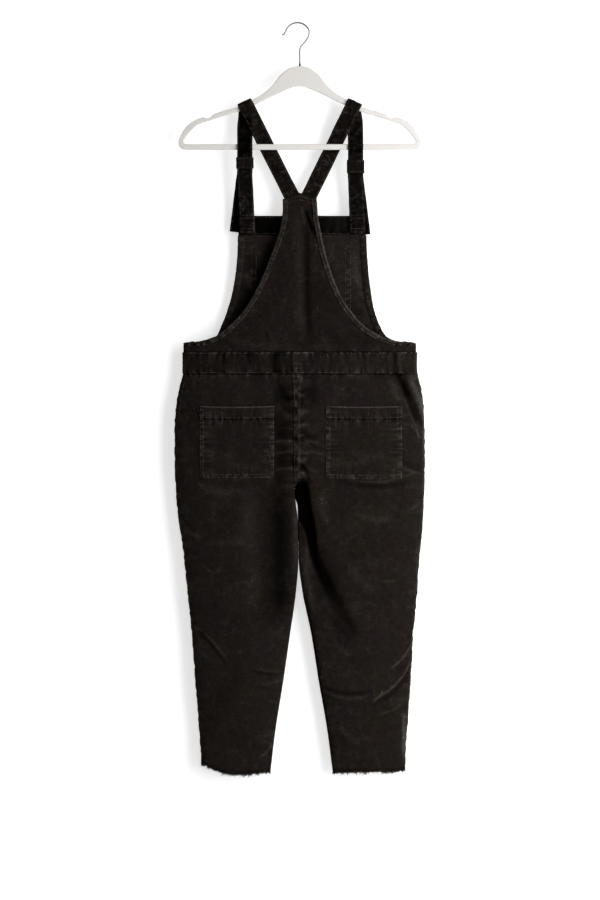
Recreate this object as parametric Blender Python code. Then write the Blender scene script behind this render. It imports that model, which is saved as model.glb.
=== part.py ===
"""Bib overalls hanging from a slim coat hanger, modelled in metres with +Z up.

The origin is the inside top of the hanger's hook, where a rail would sit. The back of the
garment faces -Y and the bib faces +Y. +X is the wearer's right-hand side. Every piece is worked
out from the hanger's middle line, and main() then moves it so that the hook's top is at the origin.
"""

import math

import bmesh
import bpy
import numpy as np

# Cloth
CLOTH = 0.0015              # wall of a single panel
BAND_CLOTH = 0.0026         # wall of the doubled waistband
TRIM_CLOTH = 0.0011         # wall of a binding, facing or pocket
STRAP_CLOTH = 0.0028        # a strap is four layers
SEAM_GAP = 0.0003           # clear space between two pieces at a seam
TRIM_LIFT = 0.0005          # clear space under a piece that lies on a panel
BINDING_LIFT = 0.0010       # clear space under the bindings and facings of the curved armholes
SIDE_SEAM_Y = 0.002         # plane of the side seams
ROUNDNESS = 2.4             # exponent of the flattened tube that each section is

# Heights, all below the hook
WAIST_TOP = -0.6069
WAIST_BOTTOM = -0.6470
WAIST_HALF_WIDTH = 0.2168
UPPER_HALF_WIDTH = 0.2150   # half width of bib and back panel where they meet at the side seam
WAIST_DEPTH = 0.0133
FRINGE_REACH = 0.0040

# Straps
STRAP_WIDTH = 0.0285
STRAP_LEAN = math.radians(26.9)     # lean of the back straps from the vertical
FOLD_LEAN = math.radians(25.5)      # slope of the hanger's arm under the fold
FOLD_RADIUS = 0.0046                # half distance between the strap's two runs at the arm
FOLD_TOP = -0.1448                  # middle of the strap's thickness over the arm
STRAP_TUCK = 0.006                  # length of strap under the back panel's top edge
TAIL_LEAN = math.radians(7.2)       # flare of the slack tail from the vertical
TAIL_LENGTH = 0.136
KEEPER_WALL = 0.0013
KEEPER_CLEAR = 0.0003

# Hanger
HANGER_THICKNESS = 0.005
HOOK_WIRE = 0.0030
HOOK_RADIUS = 0.0231                # radius of the hook's centreline
HOOK_CENTRE_X = -0.0042             # the hook bows out past the hanger's middle line
COLLAR_RADIUS = 0.0034
COLLAR_HEIGHT = 0.0040
PLATE_TOP = -0.0786

COLUMNS = 11                        # points across a trouser panel

# One row for each section of the trousers, from the waistband's lower seam to the hem: height, the
# outer and inner edge of the left and of the right leg, depth of back and front, how far the crotch
# closes the tube into two legs (0 one tube, 1 two), and the width and strength of the fold that
# hollows the right leg's back beside the crotch.
TROUSER_COLUMNS = ("height", "left_outer", "left_inner", "right_inner", "right_outer",
                   "back_depth", "front_depth", "closing", "fold_width", "fold_strength")
TROUSER_ROWS = np.array([
    (-0.6473, -0.2167, -0.0042, -0.0042, 0.2171, 0.0128, 0.0124, 0.00, 0.006, 0.0),
    (-0.6700, -0.2227, -0.0042, -0.0042, 0.2234, 0.0165, 0.0136, 0.00, 0.006, 0.0),
    (-0.7000, -0.2283, -0.0042, -0.0042, 0.2269, 0.0205, 0.0150, 0.01, 0.006, 0.0),
    (-0.7400, -0.2313, -0.0042, -0.0042, 0.2298, 0.0235, 0.0162, 0.04, 0.006, 0.0),
    (-0.7850, -0.2320, -0.0042, -0.0042, 0.2308, 0.0245, 0.0170, 0.14, 0.006, 0.0),
    (-0.8250, -0.2313, -0.0042, -0.0042, 0.2300, 0.0240, 0.0172, 0.42, 0.006, 0.0),
    (-0.8460, -0.2302, -0.0042, -0.0042, 0.2294, 0.0232, 0.0172, 0.86, 0.010, 0.3),
    (-0.8600, -0.2296, -0.0094, -0.0086, 0.2290, 0.0226, 0.0172, 1.00, 0.028, 1.0),
    (-0.8900, -0.2265, -0.0068, -0.0040, 0.2282, 0.0214, 0.0170, 1.00, 0.031, 1.0),
    (-0.9300, -0.2212, -0.0035, -0.0025, 0.2254, 0.0202, 0.0168, 1.00, 0.034, 0.9),
    (-0.9850, -0.2130, -0.0030, -0.0020, 0.2197, 0.0192, 0.0164, 1.00, 0.028, 0.4),
    (-1.0500, -0.2068, -0.0070, 0.0050, 0.2158, 0.0184, 0.0160, 1.00, 0.020, 0.1),
    (-1.1250, -0.1997, -0.0177, 0.0207, 0.2103, 0.0176, 0.0154, 1.00, 0.020, 0.0),
    (-1.2150, -0.1930, -0.0306, 0.0352, 0.2055, 0.0168, 0.0148, 1.00, 0.020, 0.0),
    (-1.3000, -0.1868, -0.0443, 0.0500, 0.1992, 0.0160, 0.0142, 1.00, 0.020, 0.0),
    (-1.3840, -0.1798, -0.0545, 0.0613, 0.1948, 0.0154, 0.0138, 1.00, 0.020, 0.0),
])

# The cut edge of each leg at the hem: share of the way from the outer to the inner edge, and height.
HEM_ROWS = {
    "left": np.array([(0.0, -1.3640), (0.15, -1.3750), (0.33, -1.3825), (0.61, -1.3853),
                      (0.85, -1.3810), (1.0, -1.3820)]),
    "right": np.array([(0.0, -1.3765), (0.20, -1.3810), (0.40, -1.3780), (0.70, -1.3810),
                       (1.0, -1.3820)]),
}

# The back panel, which narrows to the straps: height, left and right edge, depth.
BACK_ROWS = np.array([
    (-0.3242, -0.0306, 0.0305, 0.0030),
    (-0.3500, -0.0312, 0.0323, 0.0040),
    (-0.3750, -0.0345, 0.0362, 0.0050),
    (-0.4050, -0.0438, 0.0420, 0.0062),
    (-0.4400, -0.0572, 0.0510, 0.0074),
    (-0.4750, -0.0710, 0.0625, 0.0085),
    (-0.5100, -0.0895, 0.0785, 0.0096),
    (-0.5400, -0.1105, 0.1000, 0.0105),
    (-0.5620, -0.1335, 0.1215, 0.0112),
    (-0.5780, -0.1540, 0.1490, 0.0117),
    (-0.5870, -0.1810, 0.1750, 0.0120),
    (-0.5925, -0.2150, 0.2150, 0.0122),
    (-0.6066, -0.2150, 0.2150, 0.0125),
])
BACK_PEAK = 0.012           # rise of the back panel's top edge between its corners

# The bib: height, left and right edge, depth.
BIB_ROWS = np.array([
    (-0.3545, -0.1120, 0.1213, 0.0060),
    (-0.3897, -0.1136, 0.1222, 0.0068),
    (-0.4400, -0.1156, 0.1248, 0.0080),
    (-0.4850, -0.1218, 0.1294, 0.0092),
    (-0.5270, -0.1325, 0.1366, 0.0104),
    (-0.5560, -0.1435, 0.1465, 0.0112),
    (-0.5780, -0.1550, 0.1600, 0.0118),
    (-0.5880, -0.1800, 0.1840, 0.0121),
    (-0.5930, -0.2150, 0.2150, 0.0122),
    (-0.6066, -0.2150, 0.2150, 0.0125),
])
BIB_BAND_BOTTOM = -0.3897
BINDING_WIDTH = 0.0085
FACING_WIDTH = 0.0110

# Patch pockets: left, right, top and bottom edge.
POCKETS = {
    "pocket_back_left": (-0.1846, -0.0470, -0.7066, -0.8390),
    "pocket_back_right": (0.0475, 0.1885, -0.7066, -0.8400),
}
BIB_POCKET = (-0.0855, 0.0915, -0.4110, -0.5610)
POCKET_HEM = 0.0225         # depth of the folded hem along a pocket's mouth

# What differs between the two straps: middle of the front run at the bib and at the bar, middle of
# the fold over the arm, middle of the back run's lower end, and the keeper's top and bottom.
STRAPS = {
    "left": dict(at_bib=-0.0965, at_bar=-0.1014, fold=-0.1025, end=-0.0150,
                 keeper_top=-0.2479, keeper_bottom=-0.2677),
    "right": dict(at_bib=0.1069, at_bar=0.1029, fold=0.1019, end=0.0173,
                  keeper_top=-0.2529, keeper_bottom=-0.2765),
}

# How each run of a strap weaves past the hanger: height and the run's place in depth.
FRONT_RUN = np.array([(-0.388, 0.0026), (-0.352, 0.0026), (-0.310, -0.0020), (-0.279, -0.0044),
                      (-0.246, -0.0044), (-0.236, -0.0047), (-0.2225, -0.0047),
                      (-0.2075, 0.0019), (-0.186, 0.0031), (-0.166, 0.0045)])
BACK_RUN = np.array([(-0.166, -0.0045), (-0.186, -0.0031), (-0.198, -0.0018), (-0.2145, 0.0047),
                     (-0.238, 0.0047), (-0.290, 0.0032)])
BACK_RUN_END_Y = 0.0026
BIB_END = -0.388            # lower end of the front run, inside the bib's band
ABOVE_TURN = -0.279         # above this height the front run hangs plumb

# The hook's free end, and its bend from the round part into the shank.
HOOK_TIP = [(-0.0318, -0.0207), (-0.0288, -0.0193), (-0.0270, -0.0165)]
HOOK_BEND = [(0.0172, -0.0140), (0.0172, -0.0180), (0.0164, -0.0220), (0.0150, -0.0257),
             (0.0128, -0.0295), (0.0095, -0.0342), (0.0055, -0.0387), (0.0020, -0.0428),
             (0.0003, -0.0470), (0.0, -0.0520)]

# Right half of the hanger's outline: the upper edge from plate to tip, and the edge of the opening.
HANGER_EDGE = [(0.0, -0.0786), (0.0150, -0.0813), (0.0250, -0.0869), (0.0350, -0.0950),
               (0.0416, -0.1035), (0.0480, -0.1118), (0.0560, -0.1202), (0.0660, -0.1284),
               (0.0770, -0.1355), (0.1025, -0.1483), (0.1175, -0.1553), (0.1280, -0.1583),
               (0.1385, -0.1609), (0.1569, -0.1672)]
HANGER_NOTCH = [(0.1600, -0.1688), (0.1640, -0.1730), (0.1680, -0.1750), (0.1730, -0.1749),
                (0.1768, -0.1731)]
HANGER_TIP = [(0.1800, -0.1733), (0.1900, -0.1771), (0.2030, -0.1846), (0.2115, -0.1938),
              (0.2190, -0.2055), (0.2230, -0.2150), (0.2238, -0.2210), (0.2222, -0.2265),
              (0.2168, -0.2315), (0.2085, -0.2332)]
HANGER_OPENING = [(0.0, -0.1156), (0.0125, -0.1176), (0.0300, -0.1250), (0.0520, -0.1352),
                  (0.0735, -0.1460), (0.1025, -0.1588), (0.1255, -0.1667), (0.1385, -0.1706),
                  (0.1569, -0.1761), (0.1768, -0.1830), (0.1901, -0.1884), (0.2031, -0.2012),
                  (0.2105, -0.2112), (0.2138, -0.2166), (0.2122, -0.2218), (0.2060, -0.2230)]
BAR_TOP = -0.2230
BAR_BOTTOM = -0.2332


def clear_scene():
    for obj in list(bpy.data.objects):
        bpy.data.objects.remove(obj, do_unlink=True)


def new_material(name, colour, roughness, metallic=0.0):
    material = bpy.data.materials.new(name)
    material.use_nodes = True
    shader = material.node_tree.nodes["Principled BSDF"]
    shader.inputs["Base Color"].default_value = (*colour, 1.0)
    shader.inputs["Roughness"].default_value = roughness
    shader.inputs["Metallic"].default_value = metallic
    return material


def add_solid(collection, name, points, faces, material):
    """A closed mesh object whose faces all point out."""
    mesh = bpy.data.meshes.new(name)
    mesh.from_pydata(points.tolist(), [], faces)
    work = bmesh.new()
    work.from_mesh(mesh)
    bmesh.ops.recalc_face_normals(work, faces=work.faces)
    work.to_mesh(mesh)
    work.free()
    obj = bpy.data.objects.new(name, mesh)
    obj.data.materials.append(material)
    collection.objects.link(obj)
    return obj


def wall(collection, name, outside, inside, material):
    """Cloth between two grids of points, closed along its four edges."""
    rows, columns = outside.shape[:2]
    count = rows * columns
    index = np.arange(count).reshape(rows, columns)
    faces = []
    for skin, start in ((index, 0), (index + count, 1)):
        a, b = skin[:-1, :-1], skin[:-1, 1:]
        c, d = skin[1:, 1:], skin[1:, :-1]
        ring = (a, b, c, d) if start == 0 else (a, d, c, b)
        faces += np.stack([part.ravel() for part in ring], axis=1).tolist()
    border = np.concatenate([index[0], index[1:, -1], index[-1, -2::-1], index[-2:0:-1, 0]])
    following = np.roll(border, -1)
    faces += np.stack([following, border, border + count, following + count], axis=1).tolist()
    points = np.concatenate([outside.reshape(-1, 3), inside.reshape(-1, 3)])
    return add_solid(collection, name, points, faces, material)


def ring_wall(collection, name, loops, material):
    """A closed band through four loops of points: outer top, outer bottom, inner bottom, inner top."""
    count = loops.shape[1]
    index = np.arange(4 * count).reshape(4, count)
    below = np.roll(index, -1, axis=0)
    corners = (index, np.roll(index, -1, axis=1), np.roll(below, -1, axis=1), below)
    faces = np.stack([corner.ravel() for corner in corners], axis=1).tolist()
    return add_solid(collection, name, loops.reshape(-1, 3), faces, material)


def grid(x, y, z):
    return np.stack(np.broadcast_arrays(x, y, z), axis=-1)


def rise(share):
    """0 at the seam and 1 a full half width in, as the edge of a flattened tube."""
    return (1.0 - (1.0 - share) ** ROUNDNESS) ** (1.0 / ROUNDNESS)


def lens(share):
    """1 in the middle of the body and 0 at its side seams, for share -1 to 1."""
    return (1.0 - np.minimum(np.abs(share), 1.0) ** ROUNDNESS) ** (1.0 / ROUNDNESS)


def smooth_step(value):
    value = np.clip(value, 0.0, 1.0)
    return value * value * (3.0 - 2.0 * value)


def column(name):
    return TROUSER_ROWS[:, TROUSER_COLUMNS.index(name)][:, None]


def hem_height(side, share):
    return np.interp(share, HEM_ROWS[side][:, 0], HEM_ROWS[side][:, 1])


def trouser_skins(side, face):
    """The outside and inside grids of one trouser panel, from the side seam to the inner seam."""
    towards = -1.0 if face == "back" else 1.0
    inward = 1.0 if side == "left" else -1.0
    turn = np.linspace(0.0, math.pi, COLUMNS)[None, :]
    share = (1.0 - np.cos(turn)) / 2.0
    outer = column(side + "_outer")
    inner = column(side + "_inner") - inward * SEAM_GAP / 2
    depth = column(face + "_depth")
    closing = column("closing")
    profile = rise(share) * (1.0 - closing * (1.0 - rise(1.0 - share)))
    x_outside = outer + (inner - outer) * share
    outside_depth = depth * profile
    if side == "right" and face == "back":
        from_inner = np.abs(x_outside - inner)
        hollow = smooth_step((column("fold_width") + 0.004 - from_inner) / 0.009)
        hollow = hollow * column("fold_strength")
        outside_depth = outside_depth * (1.0 - hollow) + CLOTH * rise(1.0 - share) * hollow
    inside_depth = outside_depth - CLOTH * profile
    x_inside = x_outside + inward * CLOTH * ((1.0 - share) ** 4 - closing * share ** 4)
    height = np.repeat(column("height"), COLUMNS, axis=1)
    height[-1] = hem_height(side, share[0])
    seam = SIDE_SEAM_Y + towards * SEAM_GAP / 2
    outside = grid(x_outside, seam + towards * outside_depth, height)
    inside = grid(x_inside, seam + towards * inside_depth, height)
    return outside, inside


def make_trousers(collection, material):
    skins = {}
    for side in ("left", "right"):
        for face in ("back", "front"):
            outside, inside = trouser_skins(side, face)
            wall(collection, f"{face}_leg_{side}", outside, inside, material)
            skins[side, face] = (outside, inside)
    return skins


def make_fringe(collection, skins, material):
    """A plain ring under each raw hem, as deep as the loose threads reach."""
    for side in ("left", "right"):
        loops = []
        for skin in (0, 1):
            back = skins[side, "back"][skin][-1]
            front = skins[side, "front"][skin][-1]
            loops.append(np.concatenate([back[:-1], front[::-1][:-1]]))
        outer, inner = loops
        middle = (outer + inner) / 2
        outer = middle + (outer - middle) * 0.8
        inner = middle + (inner - middle) * 0.8
        top = np.array([0.0, 0.0, -SEAM_GAP])
        bottom = np.array([0.0, 0.0, -SEAM_GAP - FRINGE_REACH])
        rings = np.stack([outer + top, outer + bottom, inner + bottom, inner + top])
        ring_wall(collection, f"hem_fringe_{side}", rings, material)


def make_waistband(collection, material):
    """The band's back and front halves, which meet at the side seams."""
    share = -np.cos(np.linspace(0.0, math.pi, 17))[None, :]
    height = np.array([[WAIST_TOP], [(WAIST_TOP + WAIST_BOTTOM) / 2], [WAIST_BOTTOM]])
    for face, towards in (("back", -1.0), ("front", 1.0)):
        seam = SIDE_SEAM_Y + towards * SEAM_GAP / 2
        inner_depth = WAIST_DEPTH - BAND_CLOTH
        outside = grid(WAIST_HALF_WIDTH * share, seam + towards * WAIST_DEPTH * lens(share), height)
        inner_half = WAIST_HALF_WIDTH - BAND_CLOTH
        inside = grid(inner_half * share, seam + towards * inner_depth * lens(share), height)
        wall(collection, f"waistband_{face}", outside, inside, material)


def upper_skins(rows, towards, columns):
    """The outside and inside grids of the back panel or the bib."""
    share = -np.cos(np.linspace(0.0, math.pi, columns))[None, :]
    height, left, right, depth = (rows[:, i][:, None] for i in range(4))
    x = (left + right) / 2 + (right - left) / 2 * share
    across = x / UPPER_HALF_WIDTH
    seam = SIDE_SEAM_Y + towards * SEAM_GAP / 2
    outside = grid(x, seam + towards * depth * lens(across), height)
    inside_x = x * (1.0 - CLOTH / UPPER_HALF_WIDTH)
    inside = grid(inside_x, seam + towards * (depth - CLOTH) * lens(across), height)
    return outside, inside, share


def surface_y(rows, towards, x, height, skin=0.0):
    """Depth of the back panel's or bib's outside, or of its inside where skin is the wall."""
    depth = np.interp(-height, -rows[:, 0], rows[:, 3]) - skin
    seam = SIDE_SEAM_Y + towards * SEAM_GAP / 2
    return seam + towards * depth * lens(x / UPPER_HALF_WIDTH)


def make_back_panel(collection, material):
    outside, inside, share = upper_skins(BACK_ROWS, -1.0, 15)
    peak = BACK_PEAK * (1.0 - np.abs(share[0]))
    outside[0, :, 2] += peak
    inside[0, :, 2] += peak
    wall(collection, "back_panel", outside, inside, material)


def make_bib(collection, material):
    outside, inside, _ = upper_skins(BIB_ROWS, 1.0, 15)
    wall(collection, "bib_front", outside, inside, material)


def edge_strip(collection, name, edge, width, place, lift, thickness, material):
    """A strip along an edge of (x, height) points, which lies on the surface that place gives."""
    along = np.gradient(edge, axis=0)
    along /= np.linalg.norm(along, axis=1)[:, None]
    inward = np.stack([-along[:, 1], along[:, 0]], axis=1)
    inward *= np.where(inward[:, :1] * edge[:, :1] > 0.0, -1.0, 1.0)
    grids = []
    for raised in (lift + np.sign(lift) * thickness, lift):
        across = np.array([0.0, 0.5, 1.0])[None, :] * width
        x = edge[:, :1] + inward[:, :1] * across
        height = edge[:, 1:] + inward[:, 1:] * across
        grids.append(grid(x, place(x, height) + raised, height))
    wall(collection, name, grids[0], grids[1], material)


def make_bindings(collection, material):
    """The turned edges of the back panel, on its outside."""
    def on_back(x, height):
        return surface_y(BACK_ROWS, -1.0, x, height)
    for side, place in (("left", 1), ("right", 2)):
        edge = np.stack([BACK_ROWS[:-2, place], BACK_ROWS[:-2, 0]], axis=1)
        end = np.array([[math.copysign(0.204, edge[0, 0]), -0.5910]])
        edge = np.concatenate([edge, end])
        edge[0, 1] -= 0.002
        edge_strip(collection, f"back_binding_{side}", edge, BINDING_WIDTH, on_back,
                   -BINDING_LIFT, TRIM_CLOTH, material)


def make_bib_trim(collection, material):
    """The band and the side facings, which lie on the bib's inside, and the pocket outside it."""
    def inside_bib(x, height):
        return surface_y(BIB_ROWS, 1.0, x, height, CLOTH)
    share = np.linspace(-1.0, 1.0, 11)[None, :]
    rows = BIB_ROWS[:2]
    middle = (rows[:, 1] + rows[:, 2])[:, None] / 2
    x = middle + (rows[:, 2] - rows[:, 1])[:, None] / 2 * share
    height = np.repeat(rows[:, :1], share.size, axis=1)
    y = inside_bib(x, height)
    near = grid(x, y - TRIM_LIFT, height)
    far = grid(x, y - TRIM_LIFT - TRIM_CLOTH, height)
    wall(collection, "bib_top_band", far, near, material)
    for side, place in (("left", 1), ("right", 2)):
        edge = np.stack([BIB_ROWS[1:-2, place], BIB_ROWS[1:-2, 0]], axis=1)
        edge[0, 1] -= SEAM_GAP + 0.0004
        edge_strip(collection, f"bib_facing_{side}", edge, FACING_WIDTH, inside_bib,
                   -BINDING_LIFT, TRIM_CLOTH, material)
    left, right, top, bottom = BIB_POCKET
    x = np.linspace(left, right, 7)[None, :]
    height = np.linspace(top, bottom, 5)[:, None]
    x, height = np.broadcast_arrays(x, height)
    y = surface_y(BIB_ROWS, 1.0, x, height)
    near = grid(x, y + TRIM_LIFT, height)
    far = grid(x, y + TRIM_LIFT + TRIM_CLOTH, height)
    wall(collection, "bib_pocket", far, near, material)


def panel_y(outside, x, height):
    """Depth of a trouser panel's outside at places on it, read between its own rows."""
    heights = outside[:-1, 0, 2]
    across = np.sort(outside[:, :, 0], axis=1)
    depths = np.stack([row[np.argsort(row[:, 0]), 1] for row in outside])
    found = np.empty(x.shape)
    for place in np.ndindex(x.shape):
        each_row = [np.interp(x[place], across[i], depths[i]) for i in range(len(heights))]
        found[place] = np.interp(-height[place], -heights, each_row)
    return found


def make_back_pockets(collection, skins, material):
    """Patch pockets on the seat, thicker along the folded hem at the mouth."""
    for name, (left, right, top, bottom) in POCKETS.items():
        outside = skins[name.rsplit("_", 1)[1], "back"][0]
        hem = top - POCKET_HEM
        heights = np.array([top, hem + 0.0005, hem - 0.0005, -0.7400, -0.7850, -0.8250, bottom])
        extra = np.array([1.0, 1.0, 0.0, 0.0, 0.0, 0.0, 0.0])[:, None] * TRIM_CLOTH * 0.7
        x, height = np.meshgrid(np.linspace(left, right, 8), heights)
        y = panel_y(outside, x, height)
        near = grid(x, y - TRIM_LIFT, height)
        far = grid(x, y - TRIM_LIFT - TRIM_CLOTH - extra, height)
        wall(collection, name, far, near, material)


def ribbon(collection, name, centres, leans, normals, width, thickness, material):
    """A strap through its centres. Each lean turns the strap's width away from the horizontal."""
    across = np.stack([np.cos(leans), np.zeros(len(leans)), np.sin(leans)], axis=1)
    steps = np.array([-0.5, 0.0, 0.5])[None, :, None] * width
    middle = centres[:, None, :] + across[:, None, :] * steps
    half = normals[:, None, :] * thickness / 2
    return wall(collection, name, middle + half, middle - half, material)


def strap_path(values, hand):
    """Centres, leans and normals of one strap from the bib, over the hanger's arm, to the back."""
    down = np.array([hand * math.sin(FOLD_LEAN), 0.0, -math.cos(FOLD_LEAN)])
    top = np.array([values["fold"], 0.0, FOLD_TOP])
    centre = top + down * FOLD_RADIUS
    points, leans, normals = [], [], []
    for height, depth in FRONT_RUN:
        share = np.clip((height - BIB_END) / (ABOVE_TURN - BIB_END), 0.0, 1.0)
        x = values["at_bib"] + (values["at_bar"] - values["at_bib"]) * share
        turn = smooth_step((height + 0.200) / 0.052)
        x = x + hand * 0.0016 * turn
        points.append((x, depth, height))
        leans.append(hand * FOLD_LEAN * turn)
        normals.append((0.0, 1.0, 0.0))
    for angle in np.radians([0.0, 40.0, 90.0, 140.0, 180.0]):
        out = np.array([0.0, math.cos(angle), 0.0]) - down * math.sin(angle)
        points.append(centre + out * FOLD_RADIUS)
        leans.append(hand * FOLD_LEAN)
        normals.append(out)
    start = points[-1]
    end = np.array([values["end"], BACK_RUN_END_Y, -0.318])
    slope = (end[0] - start[0]) / (end[2] - start[2])
    for height, depth in BACK_RUN:
        points.append((start[0] + slope * (height - start[2]), depth, height))
        leans.append(hand * STRAP_LEAN)
        normals.append((0.0, -1.0, 0.0))
    tuck = end[2] - STRAP_TUCK * math.cos(STRAP_LEAN)
    points.append((end[0] + slope * (tuck - end[2]), BACK_RUN_END_Y, tuck))
    leans.append(hand * STRAP_LEAN)
    normals.append((0.0, -1.0, 0.0))
    return np.array(points), np.array(leans), np.array(normals)


def make_strap(collection, side, values, material):
    """One long strap, sewn inside the bib's band, folded over the arm and tucked under the back."""
    hand = 1.0 if side == "left" else -1.0
    points, leans, normals = strap_path(values, hand)
    ribbon(collection, f"strap_{side}", points, leans, normals, STRAP_WIDTH, STRAP_CLOTH, material)


def make_tail(collection, side, values, material):
    """The slack end below the keeper, which flares outwards in front of the bib."""
    outward = -1.0 if side == "left" else 1.0
    top = values["keeper_top"] - 0.001
    turn = values["keeper_bottom"] - 0.004
    lengths = np.array([0.0, top - turn, 0.045, 0.100, 0.122, TAIL_LENGTH])
    depths = np.array([-0.0011, -0.0011, 0.0012, 0.0098, 0.0104, 0.0104])
    heights = top - lengths
    lean = np.array([0.0, 0.3, 1.0, 1.0, 1.0, 1.0]) * TAIL_LEAN
    shift = np.maximum(turn - heights, 0.0) * math.tan(TAIL_LEAN)
    points = np.stack([values["at_bar"] + outward * shift, depths, heights], axis=1)
    normals = np.repeat(np.array([[0.0, 1.0, 0.0]]), len(points), axis=0)
    ribbon(collection, f"strap_tail_{side}", points, outward * lean, normals, STRAP_WIDTH,
           STRAP_CLOTH, material)


def make_keeper(collection, side, values, material):
    """The cloth band round the strap and its slack end."""
    half_width = STRAP_WIDTH / 2 + KEEPER_CLEAR
    front, back = 0.0008, -0.0063
    signs = [(-1, -1), (1, -1), (1, 1), (-1, 1)]
    loops = []
    for grow, corner in ((KEEPER_WALL, 0.0016), (0.0, 0.0002)):
        x = half_width + grow
        y = (front - back) / 2 + grow
        loop = []
        for sx, sy in signs:
            first = (sx * x, sy * (y - corner))
            second = (sx * (x - corner), sy * y)
            loop += [first, second] if sx * sy > 0 else [second, first]
        loops.append(np.array(loop))
    middle = np.array([values["at_bar"], (front + back) / 2])
    rings = []
    for loop, height in ((loops[0], "keeper_top"), (loops[0], "keeper_bottom"),
                         (loops[1], "keeper_bottom"), (loops[1], "keeper_top")):
        flat = loop + middle
        rings.append(grid(flat[:, 0], flat[:, 1], values[height]))
    ring_wall(collection, f"strap_keeper_{side}", np.stack(rings), material)


def round_line(points, steps):
    """A smooth line through points, with the same number of steps between each pair."""
    points = np.array(points)
    before = np.concatenate([[2 * points[0] - points[1]], points[:-1]])
    after = np.concatenate([points[1:], [2 * points[-1] - points[-2]]])
    slopes = (after - before) / 2
    part = (np.arange(steps) / steps)[None, :, None]
    start, end = points[:-1, None, :], points[1:, None, :]
    leave, arrive = slopes[:-1, None, :], slopes[1:, None, :]
    line = (start * (2 * part**3 - 3 * part**2 + 1) + end * (3 * part**2 - 2 * part**3)
            + leave * (part**3 - 2 * part**2 + part) + arrive * (part**3 - part**2))
    return np.concatenate([line.reshape(-1, points.shape[1]), points[-1:]])


def add_outline(curve, half):
    """A closed outline made from its right half, which starts and ends on the middle line."""
    other = half[::-1] * np.array([-1.0, 1.0])
    other = other[np.abs(other[:, 0]) > 1e-9]
    outline = np.concatenate([half, other])
    spline = curve.splines.new("POLY")
    spline.points.add(len(outline) - 1)
    for point, (x, z) in zip(spline.points, outline):
        point.co = (x, z, 0.0, 1.0)
    spline.use_cyclic_u = True


def make_hanger_body(collection, material):
    """The flat hanger: plate, two arms with their notches, and the bar."""
    curve = bpy.data.curves.new("hanger_body", "CURVE")
    curve.dimensions = "2D"
    curve.fill_mode = "BOTH"
    curve.extrude = HANGER_THICKNESS / 2
    outer = np.concatenate([round_line(HANGER_EDGE, 2), round_line(HANGER_NOTCH, 1),
                            round_line(HANGER_TIP, 2), [(0.0, BAR_BOTTOM)]])
    opening = np.concatenate([round_line(HANGER_OPENING, 2), [(0.0, BAR_TOP)]])
    add_outline(curve, outer)
    add_outline(curve, opening)
    obj = bpy.data.objects.new("hanger_body", curve)
    obj.rotation_euler = (math.pi / 2, 0.0, 0.0)
    curve.materials.append(material)
    collection.objects.link(obj)


def make_hook(collection, material):
    """The wire hook: a flared tip, the round part, then a bend into the upright shank."""
    turns = np.radians(np.linspace(158.0, 30.0, 15))
    circle = np.stack([HOOK_CENTRE_X + HOOK_RADIUS * np.cos(turns),
                       HOOK_WIRE / 2 - HOOK_RADIUS + HOOK_RADIUS * np.sin(turns)], axis=1)
    foot = PLATE_TOP + COLLAR_HEIGHT + 2 * SEAM_GAP
    line = round_line(np.concatenate([HOOK_TIP, circle, HOOK_BEND, [(0.0, foot)]]), 2)
    curve = bpy.data.curves.new("hanger_hook", "CURVE")
    curve.dimensions = "3D"
    curve.bevel_depth = HOOK_WIRE / 2
    curve.bevel_resolution = 2
    curve.use_fill_caps = True
    spline = curve.splines.new("POLY")
    spline.points.add(len(line) - 1)
    for point, (x, z) in zip(spline.points, line):
        point.co = (x, 0.0, z, 1.0)
    obj = bpy.data.objects.new("hanger_hook", curve)
    curve.materials.append(material)
    collection.objects.link(obj)


def make_collar(collection, material):
    """The ferrule at the foot of the hook."""
    middle = PLATE_TOP + SEAM_GAP + COLLAR_HEIGHT / 2
    bpy.ops.mesh.primitive_cylinder_add(vertices=20, radius=COLLAR_RADIUS, depth=COLLAR_HEIGHT,
                                        location=(0.0, 0.0, middle))
    obj = bpy.context.object
    obj.name = "hook_collar"
    obj.data.materials.append(material)
    for other in list(obj.users_collection):
        other.objects.unlink(obj)
    collection.objects.link(obj)


def main():
    clear_scene()
    collection = bpy.data.collections.new("bib_overalls_on_hanger")
    bpy.context.scene.collection.children.link(collection)
    denim = new_material("washed_black_denim", (0.0125, 0.0105, 0.0090), 0.95)
    flock = new_material("pale_flocked_plastic", (0.730, 0.705, 0.670), 0.85)
    steel = new_material("polished_wire", (0.550, 0.545, 0.540), 0.25, 1.0)
    skins = make_trousers(collection, denim)
    make_fringe(collection, skins, denim)
    make_waistband(collection, denim)
    make_back_panel(collection, denim)
    make_bindings(collection, denim)
    make_bib(collection, denim)
    make_bib_trim(collection, denim)
    make_back_pockets(collection, skins, denim)
    for side, values in STRAPS.items():
        make_strap(collection, side, values, denim)
        make_tail(collection, side, values, denim)
        make_keeper(collection, side, values, denim)
    make_hanger_body(collection, flock)
    make_hook(collection, steel)
    make_collar(collection, steel)
    for obj in collection.objects:
        obj.location.x -= HOOK_CENTRE_X


main()
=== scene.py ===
import math

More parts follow.
